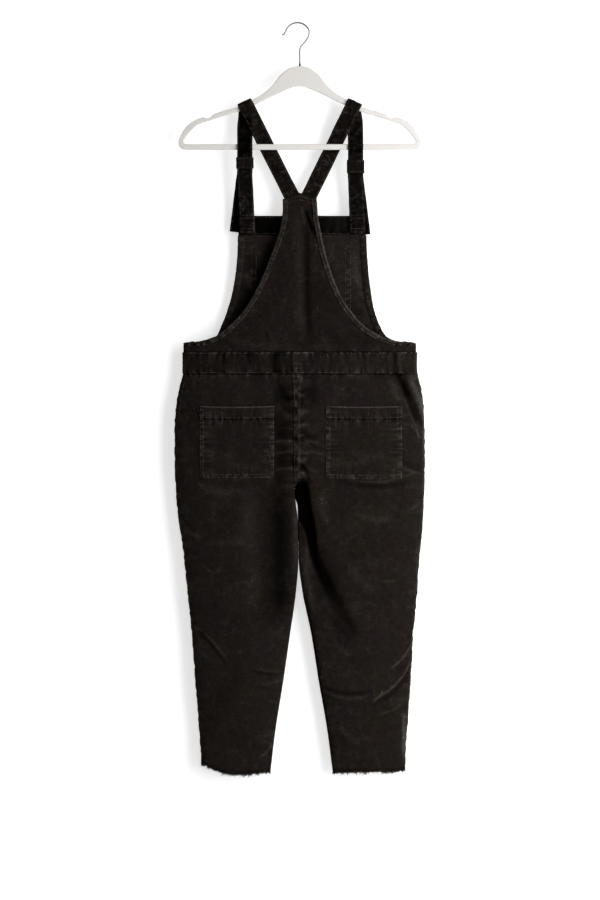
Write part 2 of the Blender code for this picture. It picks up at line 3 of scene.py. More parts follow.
import bpy
import numpy as np
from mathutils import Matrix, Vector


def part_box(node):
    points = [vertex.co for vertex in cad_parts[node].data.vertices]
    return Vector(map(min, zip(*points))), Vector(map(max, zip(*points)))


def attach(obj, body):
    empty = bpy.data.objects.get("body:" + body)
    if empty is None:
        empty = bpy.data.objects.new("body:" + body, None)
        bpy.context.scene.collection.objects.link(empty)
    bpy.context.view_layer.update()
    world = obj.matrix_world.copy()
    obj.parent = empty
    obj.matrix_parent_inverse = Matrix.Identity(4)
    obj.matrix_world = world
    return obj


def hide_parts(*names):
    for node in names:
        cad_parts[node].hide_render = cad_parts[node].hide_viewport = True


# Washed black bib overalls on a slim hanger, seen from the back. Metres, +Z up, back towards -Y.
# Shapes are worked out from the hanger's middle line, and clothMesh moves them into the frame.
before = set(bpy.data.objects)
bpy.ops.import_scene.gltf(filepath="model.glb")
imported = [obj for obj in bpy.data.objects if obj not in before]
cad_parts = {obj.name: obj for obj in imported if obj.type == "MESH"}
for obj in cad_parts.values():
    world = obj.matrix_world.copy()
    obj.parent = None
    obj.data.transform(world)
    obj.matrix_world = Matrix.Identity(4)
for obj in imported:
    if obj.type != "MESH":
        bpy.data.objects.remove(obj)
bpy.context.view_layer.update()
collarLow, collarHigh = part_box("hook_collar")
hangerMiddle = (collarLow[0] + collarHigh[0]) / 2
body = "root"

cloth = {
    "wall": 0.0013,             # a single layer
    "seamPlane": 0.002,         # plane of the side seams
    "roundness": 2.4,           # how square the flattened tube of a section is
    "waves": 1.0,               # how restless the whole cloth hangs, 1 as made
    "creases": 1.0,             # height of the creases, 1 as made
    "puckers": 1.0,             # height of the puckers at the seams, 1 as made
}


# A soft step: 0 below 0, 1 above 1, and level at both ends.
def smoothStep(value):
    value = np.clip(value, 0.0, 1.0)
    return value * value * (3.0 - 2.0 * value)


# Distance along a line of points, from its first.
def runOf(points):
    return np.concatenate([[0], np.linalg.norm(np.diff(points, axis=0), axis=1).cumsum()])

# Smooth curve through a table's rows, read anywhere in its first column: cubic pieces whose slopes
# agree where they meet, held back so that the curve never swings past a row.
def readTable(table, places):
    table = table[np.argsort(table[:, 0])]
    keys, values = table[:, 0], table[:, 1:]
    chords = np.diff(values, axis=0) / np.diff(keys)[:, None]
    before, after = np.vstack([chords[:1], chords]), np.vstack([chords, chords[-1:]])
    limit = 3 * np.minimum(np.abs(before), np.abs(after)) * (before * after > 0)
    slopes = np.clip(np.gradient(values, keys, axis=0), -limit, limit)
    places = np.clip(np.asarray(places, float), keys[0], keys[-1])
    low = np.clip(np.searchsorted(keys, places, side="right") - 1, 0, len(keys) - 2)
    step = (keys[low + 1] - keys[low])[..., None]
    t = (places - keys[low])[..., None] / step
    bend = slopes[low] * (t**3 - 2 * t**2 + t) + slopes[low + 1] * (t**3 - t**2)
    return values[low] + (values[low + 1] - values[low]) * (3 * t**2 - 2 * t**3) + step * bend


# Random soft waves from -1 to 1: a lattice of random heights, blended smoothly between its corners.
def waves(a, b, sizeA, sizeB, seed):
    dice = np.random.default_rng(seed).uniform(-1.0, 1.0, (97, 89))
    u, v = a / sizeA + 31.7, b / sizeB + 57.3
    i, j = np.floor(u).astype(int), np.floor(v).astype(int)
    s, t = smoothStep(u - i), smoothStep(v - j)
    low = dice[i % 97, j % 89] * (1 - s) + dice[(i + 1) % 97, j % 89] * s
    high = dice[i % 97, (j + 1) % 89] * (1 - s) + dice[(i + 1) % 97, (j + 1) % 89] * s
    return low * (1 - t) + high * t


# Strokes given one by one. A row is both ends (x, z), sideways bow and width, all in millimetres,
# then its strength. Across it is a bell curve, and it fades out at both ends.
def strokes(x, z, rows):
    x, z = x * 1000.0, z * 1000.0
    total = np.zeros(np.broadcast(x, z).shape)
    for ax, az, bx, bz, bow, width, height in rows:
        length = math.hypot(bx - ax, bz - az)
        dx, dz = (bx - ax) / length, (bz - az) / length
        t = ((x - ax) * dx + (z - az) * dz) / length
        aside = (x - ax) * dz - (z - az) * dx - bow * 4 * t * (1 - t)
        fade = smoothStep(t * 3.5 + 0.3) * smoothStep((1 - t) * 3.5 + 0.3)
        total += height * np.exp(-((aside / width) ** 2)) * fade
    return total


# Creases, whose strength is a height in millimetres, below 0 for a trough.
def creases(x, z, rows):
    return strokes(x, z, rows) * cloth["creases"]


# Thin random crinkles from 0 to 1: they lie where soft waves cross zero, and come and go.
def crinkles(a, b, size, width, seed):
    line = waves(a + 0.25 * b, b - 0.2 * a, size, size * 0.7, seed)
    return np.exp(-((line / width) ** 2)) * smoothStep(waves(a, b, size, size, seed + 50) * 1.6)


# Puckers beside a seam: random ridges that run away from it and die out over their reach.
def puckers(along, away, pitch, reach, seed):
    away = np.maximum(away, 0.0)
    ridges = np.tanh(2.2 * waves(along, away, pitch, reach * 2.5, seed))
    return ridges * np.exp(-away / reach) * cloth["puckers"]


# A soft line on the cloth, used for wear, painted shade and relief: 1 on the line and falling off as
# a bell curve.
def band(value, centre, width):
    return np.exp(-(((value - centre) / width) ** 2))


# Unit normals of a grid of points: the cross product of its two directions.
def gridNormals(points):
    normal = np.cross(np.gradient(points, axis=1), np.gradient(points, axis=0))
    return normal / np.maximum(np.linalg.norm(normal, axis=2, keepdims=True), 1e-12)


# Each point moved along its normal, on the side that towards names.
def raiseGrid(points, height, towards):
    normal = gridNormals(points)
    if np.sum(normal * np.array(towards)) < 0:
        normal = -normal
    return points + normal * np.broadcast_to(height, points.shape[:2])[..., None], normal


# Every piece rides on the one body and stands for the nodes it replaces.
def finishPiece(obj, replaced=()):
    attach(obj, body)
    if replaced:
        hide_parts(*replaced)

# A mesh from points worked out from the hanger's middle line.
def newMesh(name, points, faces, material, smooth=True):
    points = np.array(points, float).reshape(-1, 3)
    points[:, 0] += hangerMiddle
    mesh = bpy.data.meshes.new(name)
    mesh.from_pydata(points, [], faces)
    mesh.polygons.foreach_set("use_smooth", [smooth] * len(mesh.polygons))
    mesh.materials.append(material)
    mesh.update()
    obj = bpy.data.objects.new(name, mesh)
    bpy.context.scene.collection.objects.link(obj)
    return obj


# Faces of a closed tube: rows of rings, joined in order, with a cap at each end.
def tubeFaces(rows, columns):
    index = np.arange(rows * columns).reshape(rows, columns)
    following = np.roll(index, -1, axis=1)
    sides = np.stack([index[:-1], index[1:], following[1:], following[:-1]], axis=-1)
    return sides.reshape(-1, 4).tolist() + [index[0].tolist(), index[-1, ::-1].tolist()]

# The faces of one small shape, said again for each of its copies.
def repeated(faces, copies, points):
    faces = np.array(faces)
    starts = np.arange(copies) * points
    return (faces[None] + starts[:, None, None]).reshape(-1, faces.shape[1]).tolist()

# Amounts from 0 to 1 at each point, which the cloth's finish reads.
def paint(obj, **amounts):
    for name, amount in amounts.items():
        layer = obj.data.attributes.new(name, "FLOAT", "POINT")
        layer.data.foreach_set("value", np.clip(amount, 0.0, 1.0).astype(np.float32).ravel())


# Cloth between an outer and an inner grid, closed along its four edges. Its UV map is the distance
# along the weave in metres; two amounts say where it is worn pale and painted with highlights, and
# where shade is painted.
def clothMesh(name, outer, inner, rub, hollow, material, facing):
    rows, columns = outer.shape[:2]
    outward = np.cross(np.gradient(outer, axis=1), np.gradient(outer, axis=0))
    if np.sum(outward * np.array(facing)) < 0:
        outer, inner = outer[:, ::-1], inner[:, ::-1]
        rub, hollow = rub[:, ::-1], hollow[:, ::-1]
    count = rows * columns
    index = np.arange(count).reshape(rows, columns)
    a, b, c, d = index[:-1, :-1], index[:-1, 1:], index[1:, 1:], index[1:, :-1]
    skin = np.stack([a, b, c, d], axis=-1).reshape(-1, 4)
    border = np.concatenate([index[0], index[1:, -1], index[-1, -2::-1], index[-2:0:-1, 0]])
    following = np.roll(border, -1)
    rim = np.stack([following, border, border + count, following + count], axis=1)
    faces = np.concatenate([skin, skin[:, ::-1] + count, rim])
    obj = newMesh(name, np.concatenate([outer.reshape(-1, 3), inner.reshape(-1, 3)]),
                  faces.tolist(), material)
    across = np.linalg.norm(np.diff(outer, axis=1, prepend=outer[:, :1]), axis=2).cumsum(axis=1)
    along = np.linalg.norm(np.diff(outer, axis=0, prepend=outer[:1]), axis=2).cumsum(axis=0)
    across = across - across[:, columns // 2][:, None]
    along = np.repeat(along[:, columns // 2][:, None], columns, axis=1)
    weave = np.tile(np.stack([across.ravel(), along.ravel()], axis=1), (2, 1))
    layer = obj.data.uv_layers.new(name="weave")
    layer.data.foreach_set("uv", weave[faces.ravel()].astype(np.float32).ravel())
    paint(obj, rub=np.tile(rub.ravel(), 2), hollow=np.tile(hollow.ravel(), 2))
    return obj


# The cut of a panel, measured on its smooth form: its longest row, its middle column and its area.
def cutOf(points):
    width = np.linalg.norm(np.diff(points, axis=1), axis=2).sum(axis=1).max()
    length = np.linalg.norm(np.diff(points[:, points.shape[1] // 2], axis=0), axis=1).sum()
    normal = np.cross(points[1:, :-1] - points[:-1, :-1], points[:-1, 1:] - points[:-1, :-1])
    return float(width), float(length), float(np.linalg.norm(normal, axis=2).sum())


# Attaches a piece that hangs on the hanger and prints its cut.
def hangSheet(obj, points, replaced):
    width, length, area = cutOf(points)
    finishPiece(obj, replaced)
    print(f"{obj.name}: cut {width * 1000:.0f} x {length * 1000:.0f} mm, {area * 1e4:.0f} cm2")


# A whole cloth panel: the smooth grid, raised by its relief, with a wall of the given thickness.
def clothPanel(name, base, relief, rub, hollow, facing, replaced, wall=cloth["wall"]):
    raised, normal = raiseGrid(base, relief * 0.001, facing)
    obj = clothMesh(name, raised, raised - normal * wall, rub, hollow, denim, facing)
    hangSheet(obj, base, replaced)
    return raised


# Points and normals on a finished grid, at keys along its rows and columns.
def readGrid(points, rowKeys, columnKeys, rowAt, columnAt):
    normal = gridNormals(points)
    r = np.clip(np.interp(rowAt, rowKeys, np.arange(len(rowKeys))), 0, len(rowKeys) - 1.001)
    c = np.clip(np.interp(columnAt, columnKeys, np.arange(len(columnKeys))), 0,
                len(columnKeys) - 1.001)
    i, j = r.astype(int), c.astype(int)
    s, t = (r - i)[..., None], (c - j)[..., None]

    def blend(field):
        top = field[i, j] * (1 - t) + field[i, j + 1] * t
        return top * (1 - s) + (field[i + 1, j] * (1 - t) + field[i + 1, j + 1] * t) * s
    return blend(points), blend(normal)


stitch = {
    "length": 0.0025,
    "pitch": 0.0033,
    "radius": 0.00036,
    "proud": 0.00010,           # how far the thread's middle stands off the cloth
}
sewn = {}                       # rows of stitches waiting to be joined, by piece


# One row of stitches along a path: places one pitch apart, each a short grain that lies along it.
def sewRow(group, points, normals, facing):
    if np.sum(normals * np.array(facing)) < 0:
        normals = -normals
    run = runOf(points)
    count = int(run[-1] / stitch["pitch"])
    if count < 1:
        return
    at = (np.arange(count) + 0.5) * run[-1] / count
    half = stitch["length"] / 2

    def place(where):
        return np.stack([np.interp(where, run, points[:, k]) for k in range(3)], axis=1)
    middle = place(at)
    ahead = place(at + half) - place(at - half)
    ahead /= np.linalg.norm(ahead, axis=1)[:, None]
    out = np.stack([np.interp(at, run, normals[:, k]) for k in range(3)], axis=1)
    out /= np.linalg.norm(out, axis=1)[:, None]
    sewn.setdefault(group, []).append((middle + out * stitch["proud"], ahead, out))

# The same along a line on a finished grid. A place that stays put is given as one number.
def sewLine(group, grid, keys, rowAt, columnAt, facing):
    rowAt, columnAt = np.broadcast_arrays(rowAt, columnAt)
    sewRow(group, *readGrid(grid, *keys, rowAt, columnAt), facing)


# All waiting rows of one group as a joined mesh. A stitch is two six-sided rings and two tips.
def makeStitches(group, material):
    middle, ahead, out = (np.concatenate([row[k] for row in sewn[group]]) for k in range(3))
    aside = np.cross(out, ahead)
    turn = np.arange(6) * math.pi / 3
    radius, half = stitch["radius"], stitch["length"] / 2
    rings = [(along * half, radius * math.cos(t), radius * math.sin(t))
             for along in (-0.6, 0.6) for t in turn]
    local = np.array([(-half, 0.0, 0.0), *rings, (half, 0.0, 0.0)])
    points = (middle[:, None] + ahead[:, None] * local[None, :, :1]
              + aside[:, None] * local[None, :, 1:2] + out[:, None] * local[None, :, 2:])
    k = np.arange(6)
    nextK = (k + 1) % 6
    caps = [(0, 1 + b, 1 + a) for a, b in zip(k, nextK)]
    caps += [(13, 7 + a, 7 + b) for a, b in zip(k, nextK)]
    sides = [(1 + a, 1 + b, 7 + b, 7 + a) for a, b in zip(k, nextK)]
    faces = repeated(caps, len(middle), len(local)) + repeated(sides, len(middle), len(local))
    finishPiece(newMesh(group, points, faces, material))
    print(f"{group}: {len(middle)} stitches")


class Sum:
    # A socket that shader maths can be written with.
    def __init__(self, tree, socket):
        self.tree, self.socket = tree, socket

    def math(self, operation, other=0.0, clamp=False):
        node = self.tree.nodes.new("ShaderNodeMath")
        node.operation, node.use_clamp = operation, clamp
        for place, value in enumerate((self, other)):
            if isinstance(value, Sum):
                self.tree.links.new(value.socket, node.inputs[place])
            else:
                node.inputs[place].default_value = value
        return Sum(self.tree, node.outputs[0])

    def __add__(self, other):
        return self.math("ADD", other)

    def __mul__(self, other):
        return self.math("MULTIPLY", other)

    def __sub__(self, other):
        return self.math("SUBTRACT", other)

    def __rsub__(self, other):
        return (self * -1.0) + other

    __radd__, __rmul__ = __add__, __mul__

    def clamped(self):
        return self.math("ADD", 0.0, clamp=True)


class Finish:
    # One material. node() takes a type, its settings, then its sockets' values or links.
    def __init__(self, name, roughness, specular=0.3, metallic=0.0, sheen=0.0):
        self.material = bpy.data.materials.new(name)
        self.material.use_nodes = True
        self.tree = self.material.node_tree
        self.shader = self.tree.nodes["Principled BSDF"]
        self.set("Roughness", roughness)
        self.set("Specular IOR Level", specular)
        self.set("Metallic", metallic)
        self.set("Sheen Weight", sheen)

    def set(self, socket, value):
        self.join(self.shader.inputs[socket], value)

    def join(self, socket, value):
        if isinstance(value, Sum):
            self.tree.links.new(value.socket, socket)
        elif isinstance(value, tuple) and len(value) == 3 and socket.type == "RGBA":
            socket.default_value = (*value, 1.0)
        else:
            socket.default_value = value

    def node(self, kind, settings=None, output=0, **sockets):
        made = self.tree.nodes.new("ShaderNode" + kind)
        for name, value in (settings or {}).items():
            setattr(made, name, value)
        for name, value in sockets.items():
            key = int(name[1:]) if name[0] == "_" else name.replace("_", " ")
            self.join(made.inputs[key], value)
        return Sum(self.tree, made.outputs[output])

    def noise(self, where, scale, detail=2.0, roughness=0.5):
        return self.node("TexNoise", {}, Vector=where, Scale=scale, Detail=detail,
                         Roughness=roughness)

    def stretched(self, where, x, y, z):
        return self.node("Mapping", {"vector_type": "POINT"}, Vector=where, Scale=(x, y, z))

    def attribute(self, name):
        return self.node("Attribute", {"attribute_name": name}, output=2)

    def mix(self, share, low, high):
        return self.node("Mix", {"data_type": "RGBA"}, output=2, _0=share, _6=low, _7=high)

    def tint(self, colour, amount):
        return self.node("VectorMath", {"operation": "SCALE"}, _0=colour, Scale=amount)

    def ramp(self, value, low, high):
        return self.node("MapRange", {"interpolation_type": "SMOOTHSTEP"}, Value=value,
                         From_Min=low, From_Max=high)

    def bump(self, height, distance, strength=1.0):
        self.set("Normal", self.node("Bump", {}, Strength=strength, Distance=distance,
                                     Height=height))


denimLook = {
    "black": (0.0109, 0.0087, 0.0066),      # the dyed cloth
    "worn": (0.0950, 0.0830, 0.0720),       # pale of rubbed edges and ridges, also used for painted highlights
    "mottle": 0.7,                          # how uneven the wash is
    "strapBlack": (0.0050, 0.0038, 0.0029),  # the straps, which are blacker
    "twillPitch": 0.0011,                   # from one diagonal rib to the next
}


# Dyed cloth with a twill weave. It is paler where it is worn and where highlights are painted,
# darker where shade is painted, and uneven by noises from clouds of wash down to single grains.
def makeDenim(name, black):
    finish = Finish(name, roughness=0.95, specular=0.012)
    place = finish.node("TexCoord", output=3)
    weave = finish.node("UVMap", {"uv_map": "weave"})
    rub, hollow = finish.attribute("rub"), finish.attribute("hollow")
    cloud = finish.noise(place, 16.0, 2.0, 0.5) - 0.5
    blotch = finish.noise(place, 95.0, 3.0, 0.6) - 0.5
    warp = finish.noise(finish.stretched(weave, 520.0, 90.0, 1.0), 1.0, 2.0, 0.6) - 0.5
    weft = finish.noise(finish.stretched(weave, 80.0, 460.0, 1.0), 1.0, 2.0, 0.6) - 0.5
    grain = finish.noise(place, 480.0, 1.0, 0.6) - 0.5
    fleck = finish.ramp(blotch + warp + weft * 1.2 + grain, 0.10, 0.62)
    mottle = denimLook["mottle"]
    uneven = (cloud * 0.6 + blotch * 0.9 + warp * 0.9 + weft * 1.0 + grain * 0.8) * mottle + 1.0
    amount = (rub * (fleck * 0.9 + 0.45) * uneven + fleck * 0.04).clamped()
    purple = finish.ramp(finish.noise(place, 34.0, 1.0, 0.5), 0.40, 0.66)
    hue = finish.mix(purple, black, tuple(c * k for c, k in zip(black, (1.02, 0.97, 1.16))))
    # Painted shade darkens the dyed colour, and wear and painted highlights lift it towards the pale
    # colour.
    dyed = finish.tint(hue, uneven * (1.0 - hollow * 0.95))
    finish.set("Base Color", finish.mix(amount * (1.0 - hollow), dyed, denimLook["worn"]))
    ribs = finish.node("TexWave", {"wave_type": "BANDS", "bands_direction": "DIAGONAL"}, output=1,
                       Vector=weave, Scale=0.31 / denimLook["twillPitch"], Distortion=0.6,
                       Detail=1.0)
    finish.bump(ribs * 0.3 + grain + blotch * 2.2 + (warp + weft) * 1.2, 0.0010, 0.6)
    return finish.material


# Thread that turns from dark to pale where a noise passes paleFrom.
def makeThread(name, dark, light, paleFrom):
    finish = Finish(name, roughness=0.85, specular=0.05)
    place = finish.node("TexCoord", output=3)
    pale = finish.ramp(finish.noise(place, 190.0, 1.0, 0.5), paleFrom, paleFrom + 0.24)
    finish.set("Base Color", finish.mix(pale, dark, light))
    finish.bump(finish.noise(place, 2500.0, 1.0, 0.5), 0.0001, 0.4)
    return finish.material


# Flocked plastic: two close tones in clouds, with a fine nap.
def makeFlock():
    finish = Finish("flocked_hanger", roughness=0.85, specular=0.25, sheen=0.12)
    place = finish.node("TexCoord", output=3)
    cloud = finish.noise(place, 35.0, 2.0, 0.5)
    nap = finish.noise(place, 1800.0, 2.0, 0.6)
    finish.set("Base Color", finish.mix(cloud * 0.6 + nap * 0.4, (0.640, 0.618, 0.590),
                                        (0.685, 0.665, 0.640)))
    finish.bump(nap, 0.00015, 0.35)
    return finish.material


# Steel brushed along its length.
def makeSteel(name, colour, roughness):
    finish = Finish(name, roughness=roughness, specular=0.5, metallic=1.0)
    place = finish.node("TexCoord", output=3)
    brushed = finish.noise(finish.stretched(place, 900.0, 900.0, 60.0), 1.0, 2.0, 0.5)
    finish.set("Base Color", finish.mix(brushed, colour, tuple(c * 0.8 for c in colour)))
    finish.set("Roughness", brushed * 0.12 + roughness)
    return finish.material


denim = makeDenim("washed_denim", denimLook["black"])
strapDenim = makeDenim("washed_denim_straps", denimLook["strapBlack"])
thread = makeThread("sewing_thread", (0.018, 0.015, 0.013), (0.090, 0.078, 0.068), 0.42)
frayed = makeThread("frayed_thread", (0.007, 0.006, 0.005), (0.090, 0.080, 0.071), 0.62)
darkThread = makeThread("dark_thread", (0.009, 0.008, 0.007), (0.030, 0.026, 0.023), 0.50)
flock = makeFlock()
steel = makeSteel("hook_steel", (0.33, 0.325, 0.32), 0.30)
ferrule = makeSteel("ferrule_steel", (0.12, 0.10, 0.09), 0.35)
print("finishes made")


# One row for each section: height, left leg's outer and inner edge, right leg's inner and outer
# edge, depth of back and front, and how far the crotch closes the tube into two legs.
trouserRows = np.array([
    (-0.6473, -0.2167, -0.0042, -0.0042, 0.2171, 0.0128, 0.0124, 0.00),
    (-0.6700, -0.2227, -0.0042, -0.0042, 0.2234, 0.0165, 0.0136, 0.00),
    (-0.7000, -0.2283, -0.0042, -0.0042, 0.2269, 0.0205, 0.0150, 0.01),
    (-0.7400, -0.2313, -0.0042, -0.0042, 0.2298, 0.0235, 0.0162, 0.04),
    (-0.7850, -0.2320, -0.0042, -0.0042, 0.2308, 0.0245, 0.0170, 0.14),
    (-0.8250, -0.2313, -0.0042, -0.0042, 0.2300, 0.0240, 0.0172, 0.42),
    (-0.8460, -0.2302, -0.0048, -0.0046, 0.2294, 0.0232, 0.0172, 0.86),
    (-0.8600, -0.2296, -0.0094, -0.0092, 0.2290, 0.0226, 0.0172, 1.00),
    (-0.8780, -0.2278, -0.0080, -0.0078, 0.2286, 0.0219, 0.0171, 1.00),
    (-0.8920, -0.2263, -0.0068, -0.0040, 0.2281, 0.0213, 0.0170, 1.00),
    (-0.9060, -0.2246, -0.0046, -0.0038, 0.2272, 0.0209, 0.0170, 1.00),
    (-0.9200, -0.2228, -0.0034, -0.0034, 0.2262, 0.0205, 0.0168, 1.00),
    (-0.9500, -0.2183, -0.0026, -0.0026, 0.2240, 0.0198, 0.0167, 1.00),
    (-0.9850, -0.2130, -0.0026, -0.0024, 0.2197, 0.0192, 0.0164, 1.00),
    (-1.0500, -0.2068, -0.0070, 0.0050, 0.2158, 0.0184, 0.0160, 1.00),
    (-1.1250, -0.1997, -0.0177, 0.0207, 0.2103, 0.0176, 0.0154, 1.00),
    (-1.2150, -0.1930, -0.0306, 0.0352, 0.2055, 0.0168, 0.0148, 1.00),
    (-1.3000, -0.1868, -0.0443, 0.0500, 0.1992, 0.0160, 0.0142, 1.00),
    (-1.3840, -0.1798, -0.0545, 0.0613, 0.1948, 0.0154, 0.0138, 1.00),
])
# The deep fold beside the crotch, on the back of the right leg: height, its left and right side,
# and how deep it goes, from 0 to 1.
foldRows = np.array([
    (-0.8330, -0.0010, 0.0100, 0.0),
    (-0.8450, -0.0042, 0.0130, 0.45),
    (-0.8560, -0.0130, 0.0172, 1.0),
    (-0.8900, -0.0100, 0.0222, 1.0),
    (-0.9120, -0.0060, 0.0262, 1.0),
    (-0.9350, 0.0060, 0.0300, 0.95),
    (-0.9850, 0.0150, 0.0380, 0.86),
    (-1.0200, 0.0240, 0.0540, 0.66),
    (-1.0500, 0.0340, 0.0720, 0.50),
    (-1.0800, 0.0480, 0.0900, 0.34),
    (-1.1200, 0.0780, 0.1080, 0.16),
    (-1.1450, 0.0900, 0.1180, 0.0),
])
# The cut edge at the hem: share of the way from the outer to the inner edge, and height.
hemRows = {
    "left": np.array([(0.0, -1.3640), (0.15, -1.3750), (0.33, -1.3825), (0.61, -1.3853),
                      (0.85, -1.3815), (1.0, -1.3820)]),
    "right": np.array([(0.0, -1.3765), (0.20, -1.3808), (0.40, -1.3785), (0.70, -1.3808),
                       (1.0, -1.3820)]),
}
legs = {
    "top": -0.6446,             # tucked up inside the waistband
    "seamWidth": 0.0128,        # the felled seam down the middle of the seat
    "seamFlare": 0.0036,        # how much wider each side of it is at the waistband
    "seamProud": 0.9,           # its thickness, in millimetres
    "seamMiddle": -0.0042,
    "seamEnd": -0.852,
    "bandEdge": -0.6470,        # the waistband's lower edge
}
# Creases, listed: both ends, bow, width and height in millimetres, all from the hook.
legCreases = {
    ("left", "back"): [
        (-42, -660, -14, -708, 3, 6.5, -2.6), (-50, -700, -24, -735, 0, 5, 1.2),
        (-47, -756, -12, -754, 2, 8.0, -2.8), (-48, -773, -12, -770, -1, 3.5, 1.8),
        (-47, -783, -14, -781, 1, 3.0, -1.2), (-46, -792, -12, -790, 1, 3.0, 1.6),
        (-47, -808, -10, -806, 1, 8.0, -2.6), (-46, -824, -10, -820, -1, 3.5, 1.8),
        (-50, -845, -12, -836, -3, 6.0, -1.6), (-52, -858, -18, -852, 2, 4.0, 1.3),
        (-34, -868, -20, -872, 0, 3.0, -1.6),
        (-42, -850, -38, -1110, -5, 21.0, -3.6), (-88, -860, -84, -1090, 4, 20.0, 0.6),
        (-12, -880, -9, -1010, 0, 8.0, 1.6),
        (-55, -1036, -27, -1046, 3, 3.0, 1.2), (-52, -1050, -22, -1056, -2, 4.0, -1.2),
        (-203, -1110, -133, -1178, -7, 2.6, 1.0), (-205, -1117, -138, -1186, -7, 3.6, -1.9),
        (-200, -1096, -172, -1132, 4, 4.5, -1.2), (-190, -1150, -168, -1172, 2, 3.0, 0.9),
        (-92, -1194, -34, -1201, 3, 3.0, -1.7), (-88, -1189, -36, -1195, 3, 2.4, 1.0),
        (-70, -1218, -30, -1211, 2, 2.6, 0.9), (-58, -1248, -36, -1256, 0, 3.0, 0.8),
        (-76, -1356, -51, -1328, 4, 2.2, 0.9), (-84, -1350, -60, -1318, 3, 4.0, -1.0),
        (-214, -690, -196, -716, 2, 3.0, -1.0), (-224, -712, -206, -742, 2, 3.0, -0.9),
        (-224, -905, -196, -930, 4, 4.0, -1.2), (-218, -932, -180, -948, 3, 4.0, 0.9),
        (-170, -962, -96, -958, -4, 5.0, 0.7), (-150, -1010, -90, -1020, 5, 6.0, -0.7),
        (-186, -1262, -150, -1290, 5, 5.0, -1.0), (-140, -1300, -96, -1322, 4, 6.0, -0.8),
        (-190, -850, -120, -866, 6, 7.0, 0.9), (-150, -720, -160, -690, 5, 8.0, -0.6),
    ],
    ("right", "back"): [
        (176, -640, 199, -690, -3, 6.0, -4.4), (193, -672, 222, -745, -3, 4.4, -3.4),
        (216, -724, 230, -770, -2, 2.4, -1.4), (201, -654, 226, -722, -3, 6.5, 2.0),
        (164, -652, 186, -700, 2, 6.0, 1.0),
        (181, -708, 196, -727, 2, 1.7, 1.1), (204, -736, 223, -764, 2, 1.8, 1.3),
        (199, -742, 216, -770, 2, 3.2, -0.9), (196, -775, 226, -790, 3, 4.0, -0.8),
        (6, -668, 26, -700, 3, 6.0, -1.2), (8, -700, 22, -696, 0, 3.0, 1.3),
        (24, -738, 44, -760, 1, 2.6, -1.6), (4, -758, 36, -766, 2, 2.6, -1.7),
        (6, -766, 36, -775, 2, 2.4, 1.4), (16, -776, 45, -786, 2, 2.8, -1.8),
        (14, -786, 44, -795, 2, 2.4, 1.3), (6, -800, 38, -812, 2, 3.0, -1.0),
        (8, -815, 36, -828, 2, 2.6, 0.9), (2, -812, 16, -850, -2, 3.4, -3.2),
        (70, -841, 212, -838, 14, 3.4, -2.0), (94, -845, 213, -829, 9, 2.4, 0.7),
        (178, -806, 226, -822, 2, 4.0, -1.0), (178, -814, 224, -832, 2, 3.0, 1.1),
        (38, -865, 50, -925, 3, 8.0, 0.8), (40, -960, 56, -1060, 3, 14.0, -1.4),
        (6, -965, 22, -1085, 2, 8.0, 1.1),
        (54, -1090, 98, -1134, 5, 11.0, -2.6), (62, -1100, 74, -1150, 3, 4.0, -1.2),
        (166, -1191, 210, -1138, 5, 2.0, 1.5), (139, -1246, 207, -1172, 10, 2.6, 1.5),
        (146, -1250, 208, -1182, 9, 4.0, -1.6), (171, -1199, 210, -1150, 5, 3.5, -1.2),
        (36, -1224, 132, -1230, 8, 3.4, -1.7), (46, -1233, 120, -1240, 8, 3.0, 0.9),
        (40, -1234, 86, -1262, 2, 3.4, -0.9), (132, -1253, 154, -1230, 2, 2.2, 1.4),
        (140, -1276, 192, -1252, 4, 2.4, 0.7), (60, -1172, 128, -1176, 4, 4.0, -0.8),
        (146, -1024, 178, -1022, 1, 2.6, -1.6), (150, -1029, 176, -1028, 1, 2.2, 0.9),
        (100, -905, 170, -915, 4, 6.0, 0.8), (120, -960, 196, -940, 4, 6.0, -0.8),
        (90, -1000, 140, -1050, 5, 8.0, 0.8), (98, -1310, 160, -1300, 5, 6.0, -0.8),
        (70, -1290, 110, -1330, 4, 6.0, 0.7), (196, -900, 222, -880, 3, 4.0, 0.9),
    ],
    ("left", "front"): [
        (-18, -700, -80, -730, 6, 6, -1.6), (-14, -760, -70, -775, 4, 5, -1.5),
        (-12, -790, -60, -806, 4, 4, 1.2), (-14, -826, -74, -860, 6, 6, -1.8),
        (-200, -680, -150, -720, 6, 8, -1.2), (-60, -900, -50, -1080, 6, 18, -3.0),
        (-190, -1120, -120, -1150, 6, 5, -1.6), (-185, -1132, -118, -1162, 6, 4, 1.4),
        (-170, -1210, -70, -1196, 8, 5, -1.4), (-80, -1300, -150, -1330, 6, 6, -1.2),
        (-150, -930, -100, -1010, 8, 10, 1.2), (-70, -1240, -130, -1262, 4, 4, 1.1),
    ],
    ("right", "front"): [
        (10, -704, 70, -728, 6, 6, -1.5), (8, -752, 64, -770, 4, 5, -1.6),
        (6, -786, 54, -800, 4, 4, 1.3), (8, -830, 70, -868, 6, 6, -1.8),
        (198, -676, 150, -716, 6, 8, -1.3), (60, -900, 58, -1060, 6, 18, -3.0),
        (196, -1140, 120, -1186, 6, 5, -1.6), (192, -1152, 122, -1198, 6, 4, 1.4),
        (70, -1214, 160, -1222, 8, 5, -1.4), (90, -1310, 160, -1296, 6, 6, -1.1),
        (130, -940, 170, -1020, 8, 10, 1.2),
    ],
}
